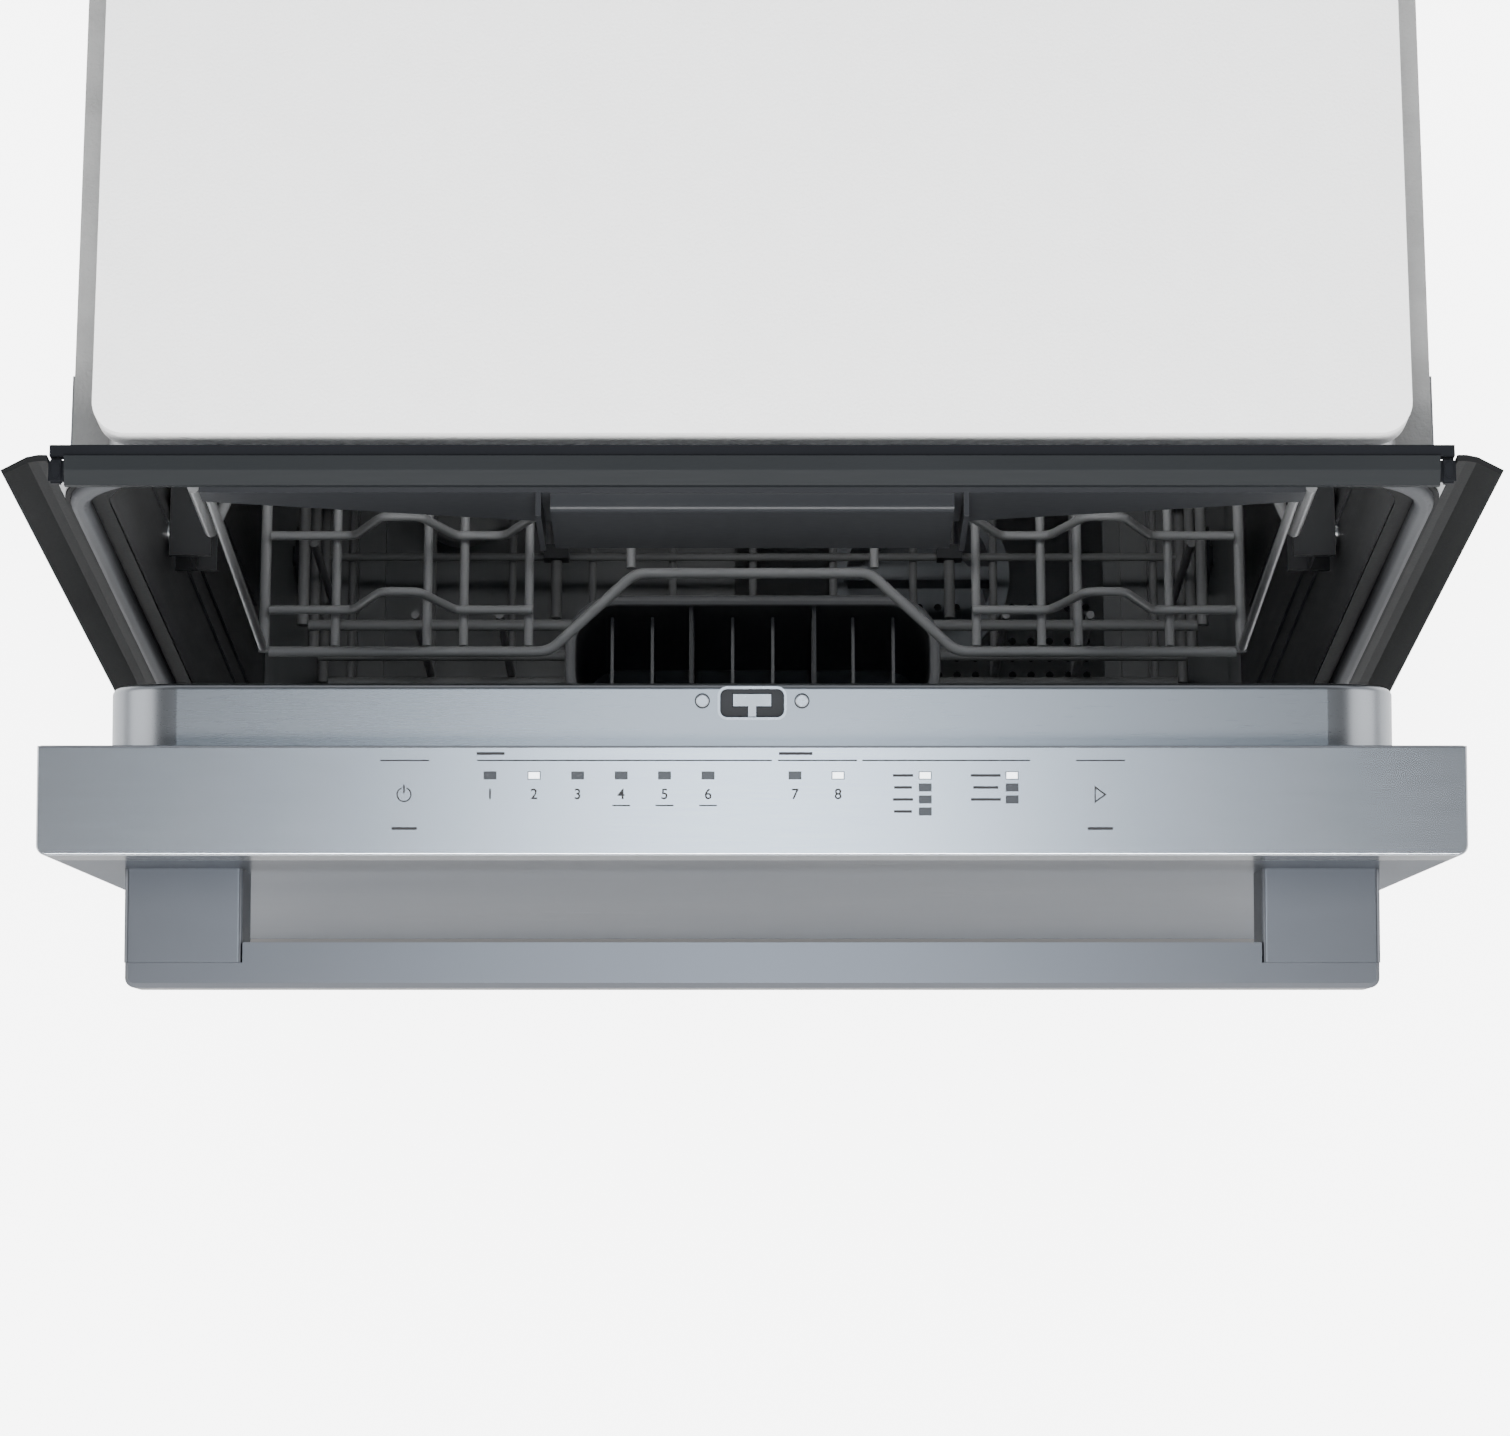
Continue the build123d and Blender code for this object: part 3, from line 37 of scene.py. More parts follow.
# Tub wrap and back: satin stainless sheet, bent and seam-welded, with a fine grain that runs up the walls.
# The shared surface group gives every material here its wear, its change of roughness and its grain.
worked = bpy.data.node_groups.new("Worked Surface", "ShaderNodeTree")
for label, kind in (("Color", "Color"), ("Worn Color", "Color"), ("Wear", "Float"), ("Wear Scale", "Float"),
                    ("Roughness", "Float"), ("Spread", "Float"), ("Grain Stretch", "Vector"),
                    ("Grain Scale", "Float"), ("Grain Depth", "Float")):
    worked.interface.new_socket(label, in_out="INPUT", socket_type="NodeSocket" + kind)
for label, kind in (("Color", "Color"), ("Roughness", "Float"), ("Normal", "Vector")):
    worked.interface.new_socket(label, in_out="OUTPUT", socket_type="NodeSocket" + kind)
wn, wl = worked.nodes, worked.links
w_in, w_out = wn.new("NodeGroupInput"), wn.new("NodeGroupOutput")
w_place = wn.new("ShaderNodeTexCoord")
w_stretch = wn.new("ShaderNodeVectorMath")
w_stretch.operation = "MULTIPLY"
wl.new(w_place.outputs["Object"], w_stretch.inputs[0])
wl.new(w_in.outputs["Grain Stretch"], w_stretch.inputs[1])
w_grain = wn.new("ShaderNodeTexNoise")
w_grain.inputs["Detail"].default_value = 4.0
wl.new(w_stretch.outputs[0], w_grain.inputs["Vector"])
wl.new(w_in.outputs["Grain Scale"], w_grain.inputs["Scale"])
w_patch = wn.new("ShaderNodeTexNoise")
w_patch.inputs["Detail"].default_value = 6.0
wl.new(w_place.outputs["Object"], w_patch.inputs["Vector"])
wl.new(w_in.outputs["Wear Scale"], w_patch.inputs["Scale"])
w_share = wn.new("ShaderNodeMapRange")
w_share.inputs["From Min"].default_value = 0.38
w_share.inputs["From Max"].default_value = 0.72
wl.new(w_patch.outputs["Fac"], w_share.inputs["Value"])
wl.new(w_in.outputs["Wear"], w_share.inputs["To Max"])
w_mix = wn.new("ShaderNodeMix")
w_mix.data_type = "RGBA"
wl.new(w_share.outputs["Result"], w_mix.inputs["Factor"])
wl.new(w_in.outputs["Color"], w_mix.inputs["A"])
wl.new(w_in.outputs["Worn Color"], w_mix.inputs["B"])
wl.new(w_mix.outputs["Result"], w_out.inputs["Color"])
w_both = wn.new("ShaderNodeMath")
w_both.operation = "ADD"
wl.new(w_grain.outputs["Fac"], w_both.inputs[0])
wl.new(w_patch.outputs["Fac"], w_both.inputs[1])
w_centre = wn.new("ShaderNodeMath")
w_centre.operation = "SUBTRACT"
wl.new(w_both.outputs[0], w_centre.inputs[0])
w_centre.inputs[1].default_value = 1.0
w_rough = wn.new("ShaderNodeMath")
w_rough.operation = "MULTIPLY_ADD"
wl.new(w_centre.outputs[0], w_rough.inputs[0])
wl.new(w_in.outputs["Spread"], w_rough.inputs[1])
wl.new(w_in.outputs["Roughness"], w_rough.inputs[2])
wl.new(w_rough.outputs[0], w_out.inputs["Roughness"])
w_bump = wn.new("ShaderNodeBump")
w_bump.inputs["Strength"].default_value = 0.6
wl.new(w_grain.outputs["Fac"], w_bump.inputs["Height"])
wl.new(w_in.outputs["Grain Depth"], w_bump.inputs["Distance"])
wl.new(w_bump.outputs["Normal"], w_out.inputs["Normal"])


def finish(name, color, worn, rough, metal=0.0, wear=0.5, patch=7.0, spread=0.12,
           stretch=(1, 1, 1), grain=900.0, depth=0.00004, edge=1.0, sheen=0.5):
    mat = bpy.data.materials.new(name)
    mat.use_nodes = True
    shader = mat.node_tree.nodes["Principled BSDF"]
    shader.inputs["Metallic"].default_value = metal
    shader.inputs["Specular IOR Level"].default_value = sheen
    shader.inputs["Specular Tint"].default_value = (edge, edge, edge, 1)
    group = mat.node_tree.nodes.new("ShaderNodeGroup")
    group.node_tree = worked
    for label, value in (("Color", (*color, 1)), ("Worn Color", (*worn, 1)), ("Wear", wear),
                         ("Wear Scale", patch), ("Roughness", rough), ("Spread", spread),
                         ("Grain Stretch", stretch), ("Grain Scale", grain), ("Grain Depth", depth)):
        group.inputs[label].default_value = value
    for target, source in (("Base Color", "Color"), ("Roughness", "Roughness"), ("Normal", "Normal")):
        mat.node_tree.links.new(group.outputs[source], shader.inputs[target])
    return mat


def dress(mat, *names):
    for name in names:
        nodes[name].data.materials.clear()
        nodes[name].data.materials.append(mat)


dress(finish("Tub Steel", (0.42, 0.425, 0.43), (0.35, 0.355, 0.36), 0.40, metal=1.0, wear=0.5,
             stretch=(60, 60, 1), grain=14.0, depth=0.00002), "tub_wrap")
# The back wall is the same steel in a lighter, warmer colour: painted light, for the brighter light that
# falls on it.
dress(finish("Back Steel Painted Light", (0.62, 0.615, 0.61), (0.54, 0.535, 0.53), 0.50, metal=1.0, wear=0.5,
             stretch=(60, 60, 1), grain=14.0, depth=0.00002), "tub_back")

# Tub wall beads: shallow pressed ribs up both walls, of the same sheet, one mesh that rides on the cabinet.
# Each is a low rounded bar laid on the wall between the rail and the flange.
front_y = -0.171467
wall_x = 0.278
bead_thick, bead_long, bead_mid = 0.0013, 0.50, 0.47
bead_centre = wall_x - 0.0007
bead_round = 0.0006
bead_mesh = bmesh.new()
for side in (-1, 1):
    for depth, width in ((0.050, 0.007), (0.066, 0.007), (0.125, 0.020), (0.330, 0.020)):
        bead = bmesh.ops.create_cube(bead_mesh, size=1.0)["verts"]
        bmesh.ops.scale(bead_mesh, verts=bead, vec=(bead_thick, width, bead_long))
        bmesh.ops.translate(bead_mesh, verts=bead, vec=(side * bead_centre, front_y + depth, bead_mid))
bmesh.ops.bevel(bead_mesh, geom=bead_mesh.edges[:], offset=bead_round, segments=2, affect="EDGES")
beads = bpy.data.objects.new("tub_wall_beads", bpy.data.meshes.new("tub_wall_beads"))
bead_mesh.to_mesh(beads.data)
bead_mesh.free()
bpy.context.scene.collection.objects.link(beads)
beads.data.materials.append(bpy.data.materials["Tub Steel"])
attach(beads, "cabinet")

# Tub floor, spray riser, feed tube and spray post: grey moulded polypropylene, clipped into the tub.
# A fine spark-eroded grain and a faint limescale bloom keep it from looking flat.
dress(finish("Floor Plastic", (0.17, 0.175, 0.18), (0.26, 0.265, 0.27), 0.46, wear=0.45, patch=11.0,
             grain=1400.0, depth=0.00006), "tub_floor", "spray_riser", "spray_post", "upper_feed_tube")

# Filter plate of stainless mesh and the twist-out filter cup, dropped into the well in the floor.
# The plate's holes are instanced on a grid of points as dark discs, painted shade for the depth of each
# hole.
dress(finish("Filter Steel", (0.38, 0.385, 0.39), (0.30, 0.30, 0.30), 0.42, metal=1.0, grain=700.0),
      "filter_plate")
dress(finish("Filter Plastic", (0.20, 0.215, 0.235), (0.28, 0.29, 0.30), 0.42, wear=0.4), "filter_cup")
grid_tree = bpy.data.node_groups.new("Grid Of Parts", "GeometryNodeTree")
for label, kind in (("Part", "Object"), ("Columns", "Int"), ("Rows", "Int"), ("Width", "Float"),
                    ("Length", "Float"), ("Material", "Material")):
    grid_tree.interface.new_socket(label, in_out="INPUT", socket_type="NodeSocket" + kind)
grid_tree.interface.new_socket("Geometry", in_out="OUTPUT", socket_type="NodeSocketGeometry")
gn, gl = grid_tree.nodes, grid_tree.links
g_in, g_out = gn.new("NodeGroupInput"), gn.new("NodeGroupOutput")
g_grid, g_part = gn.new("GeometryNodeMeshGrid"), gn.new("GeometryNodeObjectInfo")
g_put, g_real = gn.new("GeometryNodeInstanceOnPoints"), gn.new("GeometryNodeRealizeInstances")
g_mat = gn.new("GeometryNodeSetMaterial")
for label, socket in (("Columns", "Vertices X"), ("Rows", "Vertices Y"), ("Width", "Size X"),
                      ("Length", "Size Y")):
    gl.new(g_in.outputs[label], g_grid.inputs[socket])
gl.new(g_in.outputs["Part"], g_part.inputs["Object"])
gl.new(g_grid.outputs["Mesh"], g_put.inputs["Points"])
gl.new(g_part.outputs["Geometry"], g_put.inputs["Instance"])
gl.new(g_put.outputs["Instances"], g_real.inputs["Geometry"])
gl.new(g_real.outputs["Geometry"], g_mat.inputs["Geometry"])
gl.new(g_in.outputs["Material"], g_mat.inputs["Material"])
gl.new(g_mat.outputs["Geometry"], g_out.inputs["Geometry"])


def grid_of(name, part, columns, rows, width, length, mat, place):
    seed = bpy.data.objects.new(name + "_part", bpy.data.meshes.new(name + "_part"))
    part.to_mesh(seed.data)
    part.free()
    carrier = bpy.data.objects.new(name + "_grid", bpy.data.meshes.new(name + "_grid"))
    for item in (seed, carrier):
        bpy.context.scene.collection.objects.link(item)
    modifier = carrier.modifiers.new("Grid Of Parts", "NODES")
    modifier.node_group = grid_tree
    values = dict(Part=seed, Columns=columns, Rows=rows, Width=width, Length=length, Material=mat)
    for item in grid_tree.interface.items_tree:
        if item.in_out == "INPUT":
            modifier[item.identifier] = values[item.name]
    carrier.update_tag()
    bpy.context.view_layer.update()
    solid = carrier.evaluated_get(bpy.context.evaluated_depsgraph_get())
    mesh = bpy.data.meshes.new_from_object(solid)
    mesh.transform(place)
    bpy.data.objects.remove(carrier)
    bpy.data.objects.remove(seed)
    made = bpy.data.objects.new(name, mesh)
    bpy.context.scene.collection.objects.link(made)
    return made


hole_r, hole_deep = 0.0022, 0.0003
field_wide, field_long = 0.19, 0.07
field_at = (0.095, front_y + 0.0965, 0.1602)
hole = bmesh.new()
bmesh.ops.create_cone(hole, cap_ends=True, segments=8, radius1=hole_r, radius2=hole_r, depth=hole_deep)
hole_shade = finish("Hole Shadow", (0.010, 0.010, 0.011), (0.02, 0.02, 0.02), 0.7, grain=500.0)
holes = grid_of("filter_holes", hole, 19, 8, field_wide, field_long, hole_shade,
                Matrix.Translation(field_at))
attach(holes, "cabinet")

# Base tray, feet, pumps and hose stubs: black glass-filled plastic under the tub, hidden once fitted.
# The toe-kick is black painted sheet held by two screws.
# Hinges, tabs, springs, pins and screws are zinc-plated steel.
dress(finish("Base Plastic", (0.016, 0.016, 0.017), (0.035, 0.034, 0.033), 0.48, wear=0.5, grain=1200.0,
             depth=0.00008), "base_tray", "levelling_feet", "sump_and_pump", "drain_pump", "inlet_valve",
      "cable_gland")
dress(finish("Toe Paint", (0.012, 0.012, 0.013), (0.03, 0.03, 0.03), 0.38, wear=0.3, grain=1500.0),
      "toe_kick")
dress(finish("Zinc Steel", (0.52, 0.53, 0.54), (0.40, 0.40, 0.38), 0.36, metal=1.0, wear=0.7, patch=30.0),
      "hinge_brackets", "hinge_arms", "fixing_tabs", "handle_screws", "toe_screws", "door_springs",
      "roller_pins")

# Front rail over the opening: dark blue-grey painted steel, with a black rubber strip along its back.
# The side lips are black rubber flaps pushed on the edge of the flange.
dress(finish("Rail Paint", (0.0105, 0.0120, 0.0132), (0.0145, 0.0160, 0.0175), 0.55, sheen=0.12, wear=0.5,
             patch=9.0, stretch=(1, 30, 30), grain=40.0), "front_rail")
dress(finish("Strip Rubber", (0.0060, 0.0066, 0.0082), (0.010, 0.011, 0.013), 0.6, sheen=0.12, wear=0.4),
      "top_seal_strip", "lower_door_seal")
dress(finish("Lip Rubber", (0.0075, 0.0078, 0.0080), (0.0115, 0.0118, 0.0122), 0.64, sheen=0.15, wear=0.5,
             patch=5.0, grain=1100.0, depth=0.00006), "side_lips")

# Gasket: a hollow grey rubber bead that runs round the opening and meets the door's liner when it shuts.
# It is extruded in one length and pressed into the flange of the tub.
dress(finish("Gasket Rubber", (0.055, 0.057, 0.061), (0.075, 0.077, 0.081), 0.62, sheen=0.12, wear=0.45,
             patch=14.0, grain=900.0), "door_gasket")

# Gasket skirt: flat black rubber lips on both sides of the bead that cover the flange from tub to side lip.
# Each is a thin band carried round the arch of the opening.
inner_lip = ((0.2783, 0.8397, 0.0420), (0.2859, 0.8415, 0.0415))
outer_lip = ((0.2948, 0.8504, 0.0502), (0.2969, 0.8514, 0.0502))
skirt_foot = 0.165
skirt_back, skirt_face = -0.0001, -0.0012
skirt_mesh = bmesh.new()
for near, far in (inner_lip, outer_lip):
    rows = []
    for (half, top, radius), y in ((near, skirt_back), (near, skirt_face),
                                   (far, skirt_face), (far, skirt_back)):
        turn = [math.radians(90 * step / 10) for step in range(11)]
        right = [(half - radius + radius * math.cos(a), top - radius + radius * math.sin(a)) for a in turn]
        left = [(-x, z) for x, z in reversed(right)]
        path = [(half, skirt_foot), *right, *left, (-half, skirt_foot)]
        rows.append([skirt_mesh.verts.new((x, front_y + y, z)) for x, z in path])
    for row, following in zip(rows, rows[1:] + rows[:1]):
        for i in range(len(row) - 1):
            skirt_mesh.faces.new((row[i], row[i + 1], following[i + 1], following[i]))
    for end in (0, -1):
        skirt_mesh.faces.new([row[end] for row in rows])
bmesh.ops.recalc_face_normals(skirt_mesh, faces=skirt_mesh.faces[:])
skirt = bpy.data.objects.new("gasket_skirt", bpy.data.meshes.new("gasket_skirt"))
skirt_mesh.to_mesh(skirt.data)
skirt_mesh.free()
bpy.context.scene.collection.objects.link(skirt)
skirt.data.materials.append(finish("Skirt Rubber", (0.005, 0.0052, 0.0055), (0.009, 0.0092, 0.0095), 0.65,
                                   wear=0.4, sheen=0.12))
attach(skirt, "cabinet")

# Corner plugs: soft black rubber ends that close the rail against the side lips.
# Each is moulded with a hollow oval mouth on top and pushed over the end of the rail.
plug_size, plug_round = (0.0064, 0.0112, 0.0046), 0.0011
plug_x, plug_y, plug_z = 0.2935, front_y - 0.0038, 0.8545
mouth_r, mouth_deep, mouth_z = 0.0022, 0.0006, plug_z + 0.0024
mouth_oval = (0.8, 1.6, 1.0)
plug_mesh = bmesh.new()
for side in (-1, 1):
    plug = bmesh.ops.create_cube(plug_mesh, size=1.0)["verts"]
    bmesh.ops.scale(plug_mesh, verts=plug, vec=plug_size)
    bmesh.ops.translate(plug_mesh, verts=plug, vec=(side * plug_x, plug_y, plug_z))
bmesh.ops.bevel(plug_mesh, geom=plug_mesh.edges[:], offset=plug_round, segments=3, affect="EDGES")
for side in (-1, 1):
    mouth = bmesh.ops.create_cone(plug_mesh, cap_ends=True, segments=20, radius1=mouth_r, radius2=mouth_r,
                                  depth=mouth_deep)["verts"]
    bmesh.ops.scale(plug_mesh, verts=mouth, vec=mouth_oval)
    bmesh.ops.translate(plug_mesh, verts=mouth, vec=(side * plug_x, plug_y, mouth_z))
plugs = bpy.data.objects.new("rail_corner_plugs", bpy.data.meshes.new("rail_corner_plugs"))
plug_mesh.to_mesh(plugs.data)
plug_mesh.free()
bpy.context.scene.collection.objects.link(plugs)
plugs.data.materials.append(bpy.data.materials["Strip Rubber"])
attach(plugs, "cabinet")

# Fleece pads against noise: felted white fibre over the tub, grey fibre at its sides and in the door.
# They are cut flat from the roll and glued to the sheet.
dress(finish("White Fleece", (0.95, 0.95, 0.945), (0.90, 0.90, 0.895), 0.95, wear=0.5, patch=40.0,
             spread=0.05, grain=700.0, depth=0.0006), "top_fleece")
dress(finish("Grey Fleece", (0.30, 0.30, 0.295), (0.20, 0.20, 0.197), 0.95, wear=0.7, patch=30.0,
             spread=0.05, grain=500.0, depth=0.0008), "wall_fleece", "door_fleece")

# Telescoping rails: drawn steel channels screwed to the walls of the tub, coloured near-black as painted
# shade, for the shadow they lie in at the sides.
# The wheels, rollers and clips of both racks are moulded of one dark grey plastic.
dress(finish("Channel Painted Shade", (0.030, 0.031, 0.033), (0.045, 0.046, 0.048), 0.42, sheen=0.2,
             stretch=(40, 1, 40), grain=20.0), "rack_rails")
dress(finish("Rack Plastic", (0.060, 0.063, 0.068), (0.085, 0.088, 0.092), 0.44, wear=0.4, grain=1300.0),
      "upper_wheel_carriers", "upper_wheels_front", "upper_wheels_rear", "tub_rollers_front",
      "tub_rollers_rear", "lower_wheels_front", "lower_wheels_rear", "lower_rack_clips")

# Racks: baskets of steel wire, welded at the crossings, with two rows of tines that fold down.
# They are dipped in a grey nylon coat, which is slightly thicker in patches.
dress(finish("Wire Coat", (0.180, 0.184, 0.188), (0.225, 0.229, 0.233), 0.34, wear=0.5, patch=25.0,
             grain=600.0, depth=0.00008), "upper_rack", "lower_rack", "fold_tines_left", "fold_tines_right")

# Trim along the front of the upper rack, with the grip that it is pulled out by.
# It is dark satin plastic, moulded in one piece and pushed over the front wires.
dress(finish("Trim Plastic", (0.033, 0.035, 0.039), (0.044, 0.046, 0.050), 0.36, sheen=0.25, wear=0.4,
             patch=8.0, stretch=(1, 8, 8), grain=160.0), "upper_trim")

# Spray arms: moulded grey plastic vanes that turn on their posts, driven by the water they throw.
# The row of jet slots along the top of each is instanced as dark ovals, painted shade for the inside of each
# slot.
jet_r, jet_deep, jet_oval = 0.0028, 0.0003, (0.7, 2.2, 1.0)
jet_row, arm_turn = 0.33, math.radians(24)
dress(finish("Arm Plastic", (0.21, 0.215, 0.22), (0.30, 0.305, 0.31), 0.42, wear=0.4), "lower_spray_arm",
      "upper_spray_arm")
for body, depth, top in (("lower_spray_arm", 0.260, 0.187), ("upper_spray_arm", 0.232, 0.495)):
    jet = bmesh.new()
    bmesh.ops.create_cone(jet, cap_ends=True, segments=12, radius1=jet_r, radius2=jet_r, depth=jet_deep)
    bmesh.ops.scale(jet, verts=jet.verts[:], vec=jet_oval)
    arm_place = Matrix.Translation((0, front_y + depth, top)) @ Matrix.Rotation(arm_turn, 4, "Z")
    jets = grid_of(body + "_jets", jet, 12, 1, jet_row, 0.0, hole_shade, arm_place)
    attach(jets, body)

# Cutlery basket: a rounded box of dark plastic, moulded in one piece with the partitions inside it.
# It is hooked over the front rim of the lower rack and lifts off.
dress(finish("Basket Plastic", (0.060, 0.062, 0.066), (0.085, 0.087, 0.091), 0.40, wear=0.4, grain=1200.0),
      "cutlery_basket")

# Basket rim: a rounded bead moulded round the mouth, and a comb of thin ribs across the inside.
# The bead is a round profile carried along the basket's rounded outline.
rim_half, rim_near, rim_far, rim_top, rim_r = 0.0945, front_y + 0.0075, front_y + 0.0695, 0.3945, 0.0240
bead_wide, bead_high, bead_sides = 0.0028, 0.0022, 10
rib_size, rib_span, rib_z = (0.0016, 0.0560, 0.0050), 0.147, 0.3700
outline = []
for cx, cy, start in ((1, 1, 0), (-1, 1, 90), (-1, -1, 180), (1, -1, 270)):
    mid_x = cx * (rim_half - rim_r)
    mid_y = (rim_far - rim_r) if cy > 0 else (rim_near + rim_r)
    for step in range(9):
        a = math.radians(start + 90 * step / 8)
        outline.append((Vector((mid_x + rim_r * math.cos(a), mid_y + rim_r * math.sin(a), rim_top)),
                        Vector((math.cos(a), math.sin(a), 0))))
rim_mesh = bmesh.new()
loops = []
for point, out in outline:
    loop = []
    for k in range(bead_sides):
        b = 2 * math.pi * k / bead_sides
        loop.append(rim_mesh.verts.new(point + out * (bead_wide * math.cos(b))
                                       + Vector((0, 0, bead_high * math.sin(b)))))
    loops.append(loop)
for loop, following in zip(loops, loops[1:] + loops[:1]):
    for k in range(bead_sides):
        rim_mesh.faces.new((loop[k - 1], following[k - 1], following[k], loop[k]))
bmesh.ops.recalc_face_normals(rim_mesh, faces=rim_mesh.faces[:])
rim = bpy.data.objects.new("cutlery_basket_rim", bpy.data.meshes.new("cutlery_basket_rim"))
rim_mesh.to_mesh(rim.data)
rim_mesh.free()
bpy.context.scene.collection.objects.link(rim)
rim.data.materials.append(finish("Rim Plastic", (0.13, 0.134, 0.140), (0.17, 0.174, 0.180), 0.36, wear=0.4))
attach(rim, "cutlery_basket")
rib = bmesh.new()
bmesh.ops.create_cube(rib, size=1.0)
bmesh.ops.scale(rib, verts=rib.verts[:], vec=rib_size)
ribs = grid_of("cutlery_basket_ribs", rib, 8, 1, rib_span, 0.0, bpy.data.materials["Rim Plastic"],
               Matrix.Translation((0, (rim_near + rim_far) / 2, rib_z)))
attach(ribs, "cutlery_basket")

# Inner door liner: a deep-drawn pan of satin stainless sheet with its grain along its length.
# It is screwed to the outer panel, and the strike over the opening is of the same steel.
dress(finish("Liner Steel", (0.31, 0.325, 0.345), (0.28, 0.295, 0.315), 0.28, metal=1.0, wear=0.35,
             patch=5.0, spread=0.04, stretch=(1, 60, 60), grain=55.0, depth=0.0000012),
      "door_liner", "latch_strike")

# Latch: a black moulded housing under the slot in the liner's rim, held by two plugs beside the slot.
# A bright steel tongue in it catches the strike.
dress(finish("Latch Plastic", (0.018, 0.019, 0.021), (0.030, 0.031, 0.034), 0.50, wear=0.3, sheen=0.12),
      "latch_housing")
dress(finish("Latch Steel", (0.42, 0.43, 0.45), (0.33, 0.34, 0.36), 0.30, metal=1.0, wear=0.4, patch=60.0),
      "latch_tongue")

# Slot edge: a lip pressed round the latch slot, in steel lighter than the liner's as a painted highlight
# where its bent edge catches the light, and pale caps snapped on the two fixing plugs.
# Both are laid out on the shut door and swung open with it.
hinge = Vector((0, front_y - 0.018, 0.128))
ajar_angle = math.radians(9)
ajar = Matrix.Translation(hinge) @ Matrix.Rotation(ajar_angle, 4, "X") @ Matrix.Translation(-hinge)
slot_inner, slot_outer = (0.0136, 0.0061, 0.0031), (0.0146, 0.0071, 0.0041)
slot_y, edge_foot, edge_top = front_y + 0.0124, 0.83405, 0.8343
cap_x, cap_y, cap_z = 0.021, front_y + 0.0133, 0.8350
cap_foot_r, cap_top_r, cap_thick = 0.0027, 0.0023, 0.0002
edge_mesh = bmesh.new()
rounds = []
for (half_x, half_y, radius), z in ((slot_inner, edge_foot), (slot_inner, edge_top),
                                    (slot_outer, edge_top), (slot_outer, edge_foot)):
    points = []
    for cx, cy, start in ((1, 1, 0), (-1, 1, 90), (-1, -1, 180), (1, -1, 270)):
        for step in range(7):
            a = math.radians(start + 15 * step)
            x = cx * (half_x - radius) + radius * math.cos(a)
            y = slot_y + cy * (half_y - radius) + radius * math.sin(a)
            points.append(edge_mesh.verts.new((x, y, z)))
    rounds.append(points)
for one, two in zip(rounds, rounds[1:] + rounds[:1]):
    for k in range(len(one)):
        edge_mesh.faces.new((one[k], one[k - 1], two[k - 1], two[k]))
bmesh.ops.recalc_face_normals(edge_mesh, faces=edge_mesh.faces[:])
for side in (-1, 1):
    cap = bmesh.ops.create_cone(edge_mesh, cap_ends=True, segments=24, radius1=cap_foot_r, radius2=cap_top_r,
                                depth=cap_thick)["verts"]
    bmesh.ops.translate(edge_mesh, verts=cap, vec=(side * cap_x, cap_y, cap_z))
slot_edge = bpy.data.objects.new("latch_slot_edge", bpy.data.meshes.new("latch_slot_edge"))
edge_mesh.to_mesh(slot_edge.data)
edge_mesh.free()
slot_edge.data.transform(ajar)
bpy.context.scene.collection.objects.link(slot_edge)
slot_edge.data.materials.append(finish("Slot Steel", (0.46, 0.48, 0.51), (0.40, 0.42, 0.45), 0.28, metal=1.0,
                                       wear=0.3))
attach(slot_edge, "door")

# Dispenser with its sliding lid and rinse-aid cap, which lets out the detergent during the wash.
# It is pale grey moulded plastic, snapped into the middle of the liner.
dress(finish("Dispenser Plastic", (0.33, 0.34, 0.355), (0.42, 0.425, 0.435), 0.38, wear=0.35, grain=1400.0),
      "dispenser", "dispenser_lid", "rinse_aid_cap")

# Outer door panel: the front that is seen when the door is shut, of long-grain brushed stainless sheet.
# It is bent round at the sides and closed by the liner behind it.
dress(finish("Door Steel", (0.31, 0.335, 0.375), (0.265, 0.285, 0.32), 0.30, metal=1.0, wear=0.35, patch=3.0,
             spread=0.10, stretch=(1, 60, 60), grain=26.0, depth=0.000008, edge=0.12), "door_outer_panel")

# Handle: a bar of brushed metal across the top of the door, on two cast end brackets.
# The brackets are screwed on from inside the door.
dress(finish("Handle Metal", (0.160, 0.168, 0.184), (0.138, 0.146, 0.162), 0.30, metal=1.0, wear=0.4,
             patch=6.0, spread=0.04, stretch=(1, 60, 60), grain=45.0, depth=0.0000015, edge=0.4),
      "handle_bar", "handle_brackets")

# Control panel: a cap of brushed steel along the top of the door, clipped over the panel and the liner.
# Small plastic windows are set in it, and the lacquered circuit board lies under it.
dress(finish("Panel Steel", (0.53, 0.555, 0.59), (0.49, 0.515, 0.55), 0.23, metal=1.0, wear=0.3, patch=3.0,
             spread=0.05, stretch=(1, 60, 60), grain=30.0, depth=0.000003, edge=0.15), "control_panel")
dress(finish("Window Plastic", (0.022, 0.023, 0.026), (0.035, 0.036, 0.040), 0.25, wear=0.2),
      "indicator_windows")
dress(finish("Board Lacquer", (0.02, 0.11, 0.05), (0.03, 0.15, 0.07), 0.35, wear=0.5, patch=60.0),
      "control_board")

# Printed marks on the control panel: lines, bars and two icons in thin dark ink, screened on the steel.
# They are one flat mesh a hair above the panel, laid out on the shut door and swung open with it.
panel_top = 0.850
panel_front = front_y - 0.053
ink_lift = 0.00004
label_row, line_row, window_row = 0.0427, 0.0398, 0.0335
digit_row, short_row, foot_row = 0.0255, 0.0209, 0.0113
line_thick, bar_thick, list_thick, list_step = 0.0006, 0.0012, 0.0011, 0.00503
power_x, start_x = -0.1454, 0.1453
ink = bmesh.new()


def mark(outline, x, back):
    points = [ink.verts.new((x + px, panel_front + back + py, panel_top + ink_lift)) for px, py in outline]
    ink.faces.new(points)


def bar(x, back, width, height):
    half_w, half_h = width / 2, height / 2
    mark([(-half_w, -half_h), (half_w, -half_h), (half_w, half_h), (-half_w, half_h)], x, back)


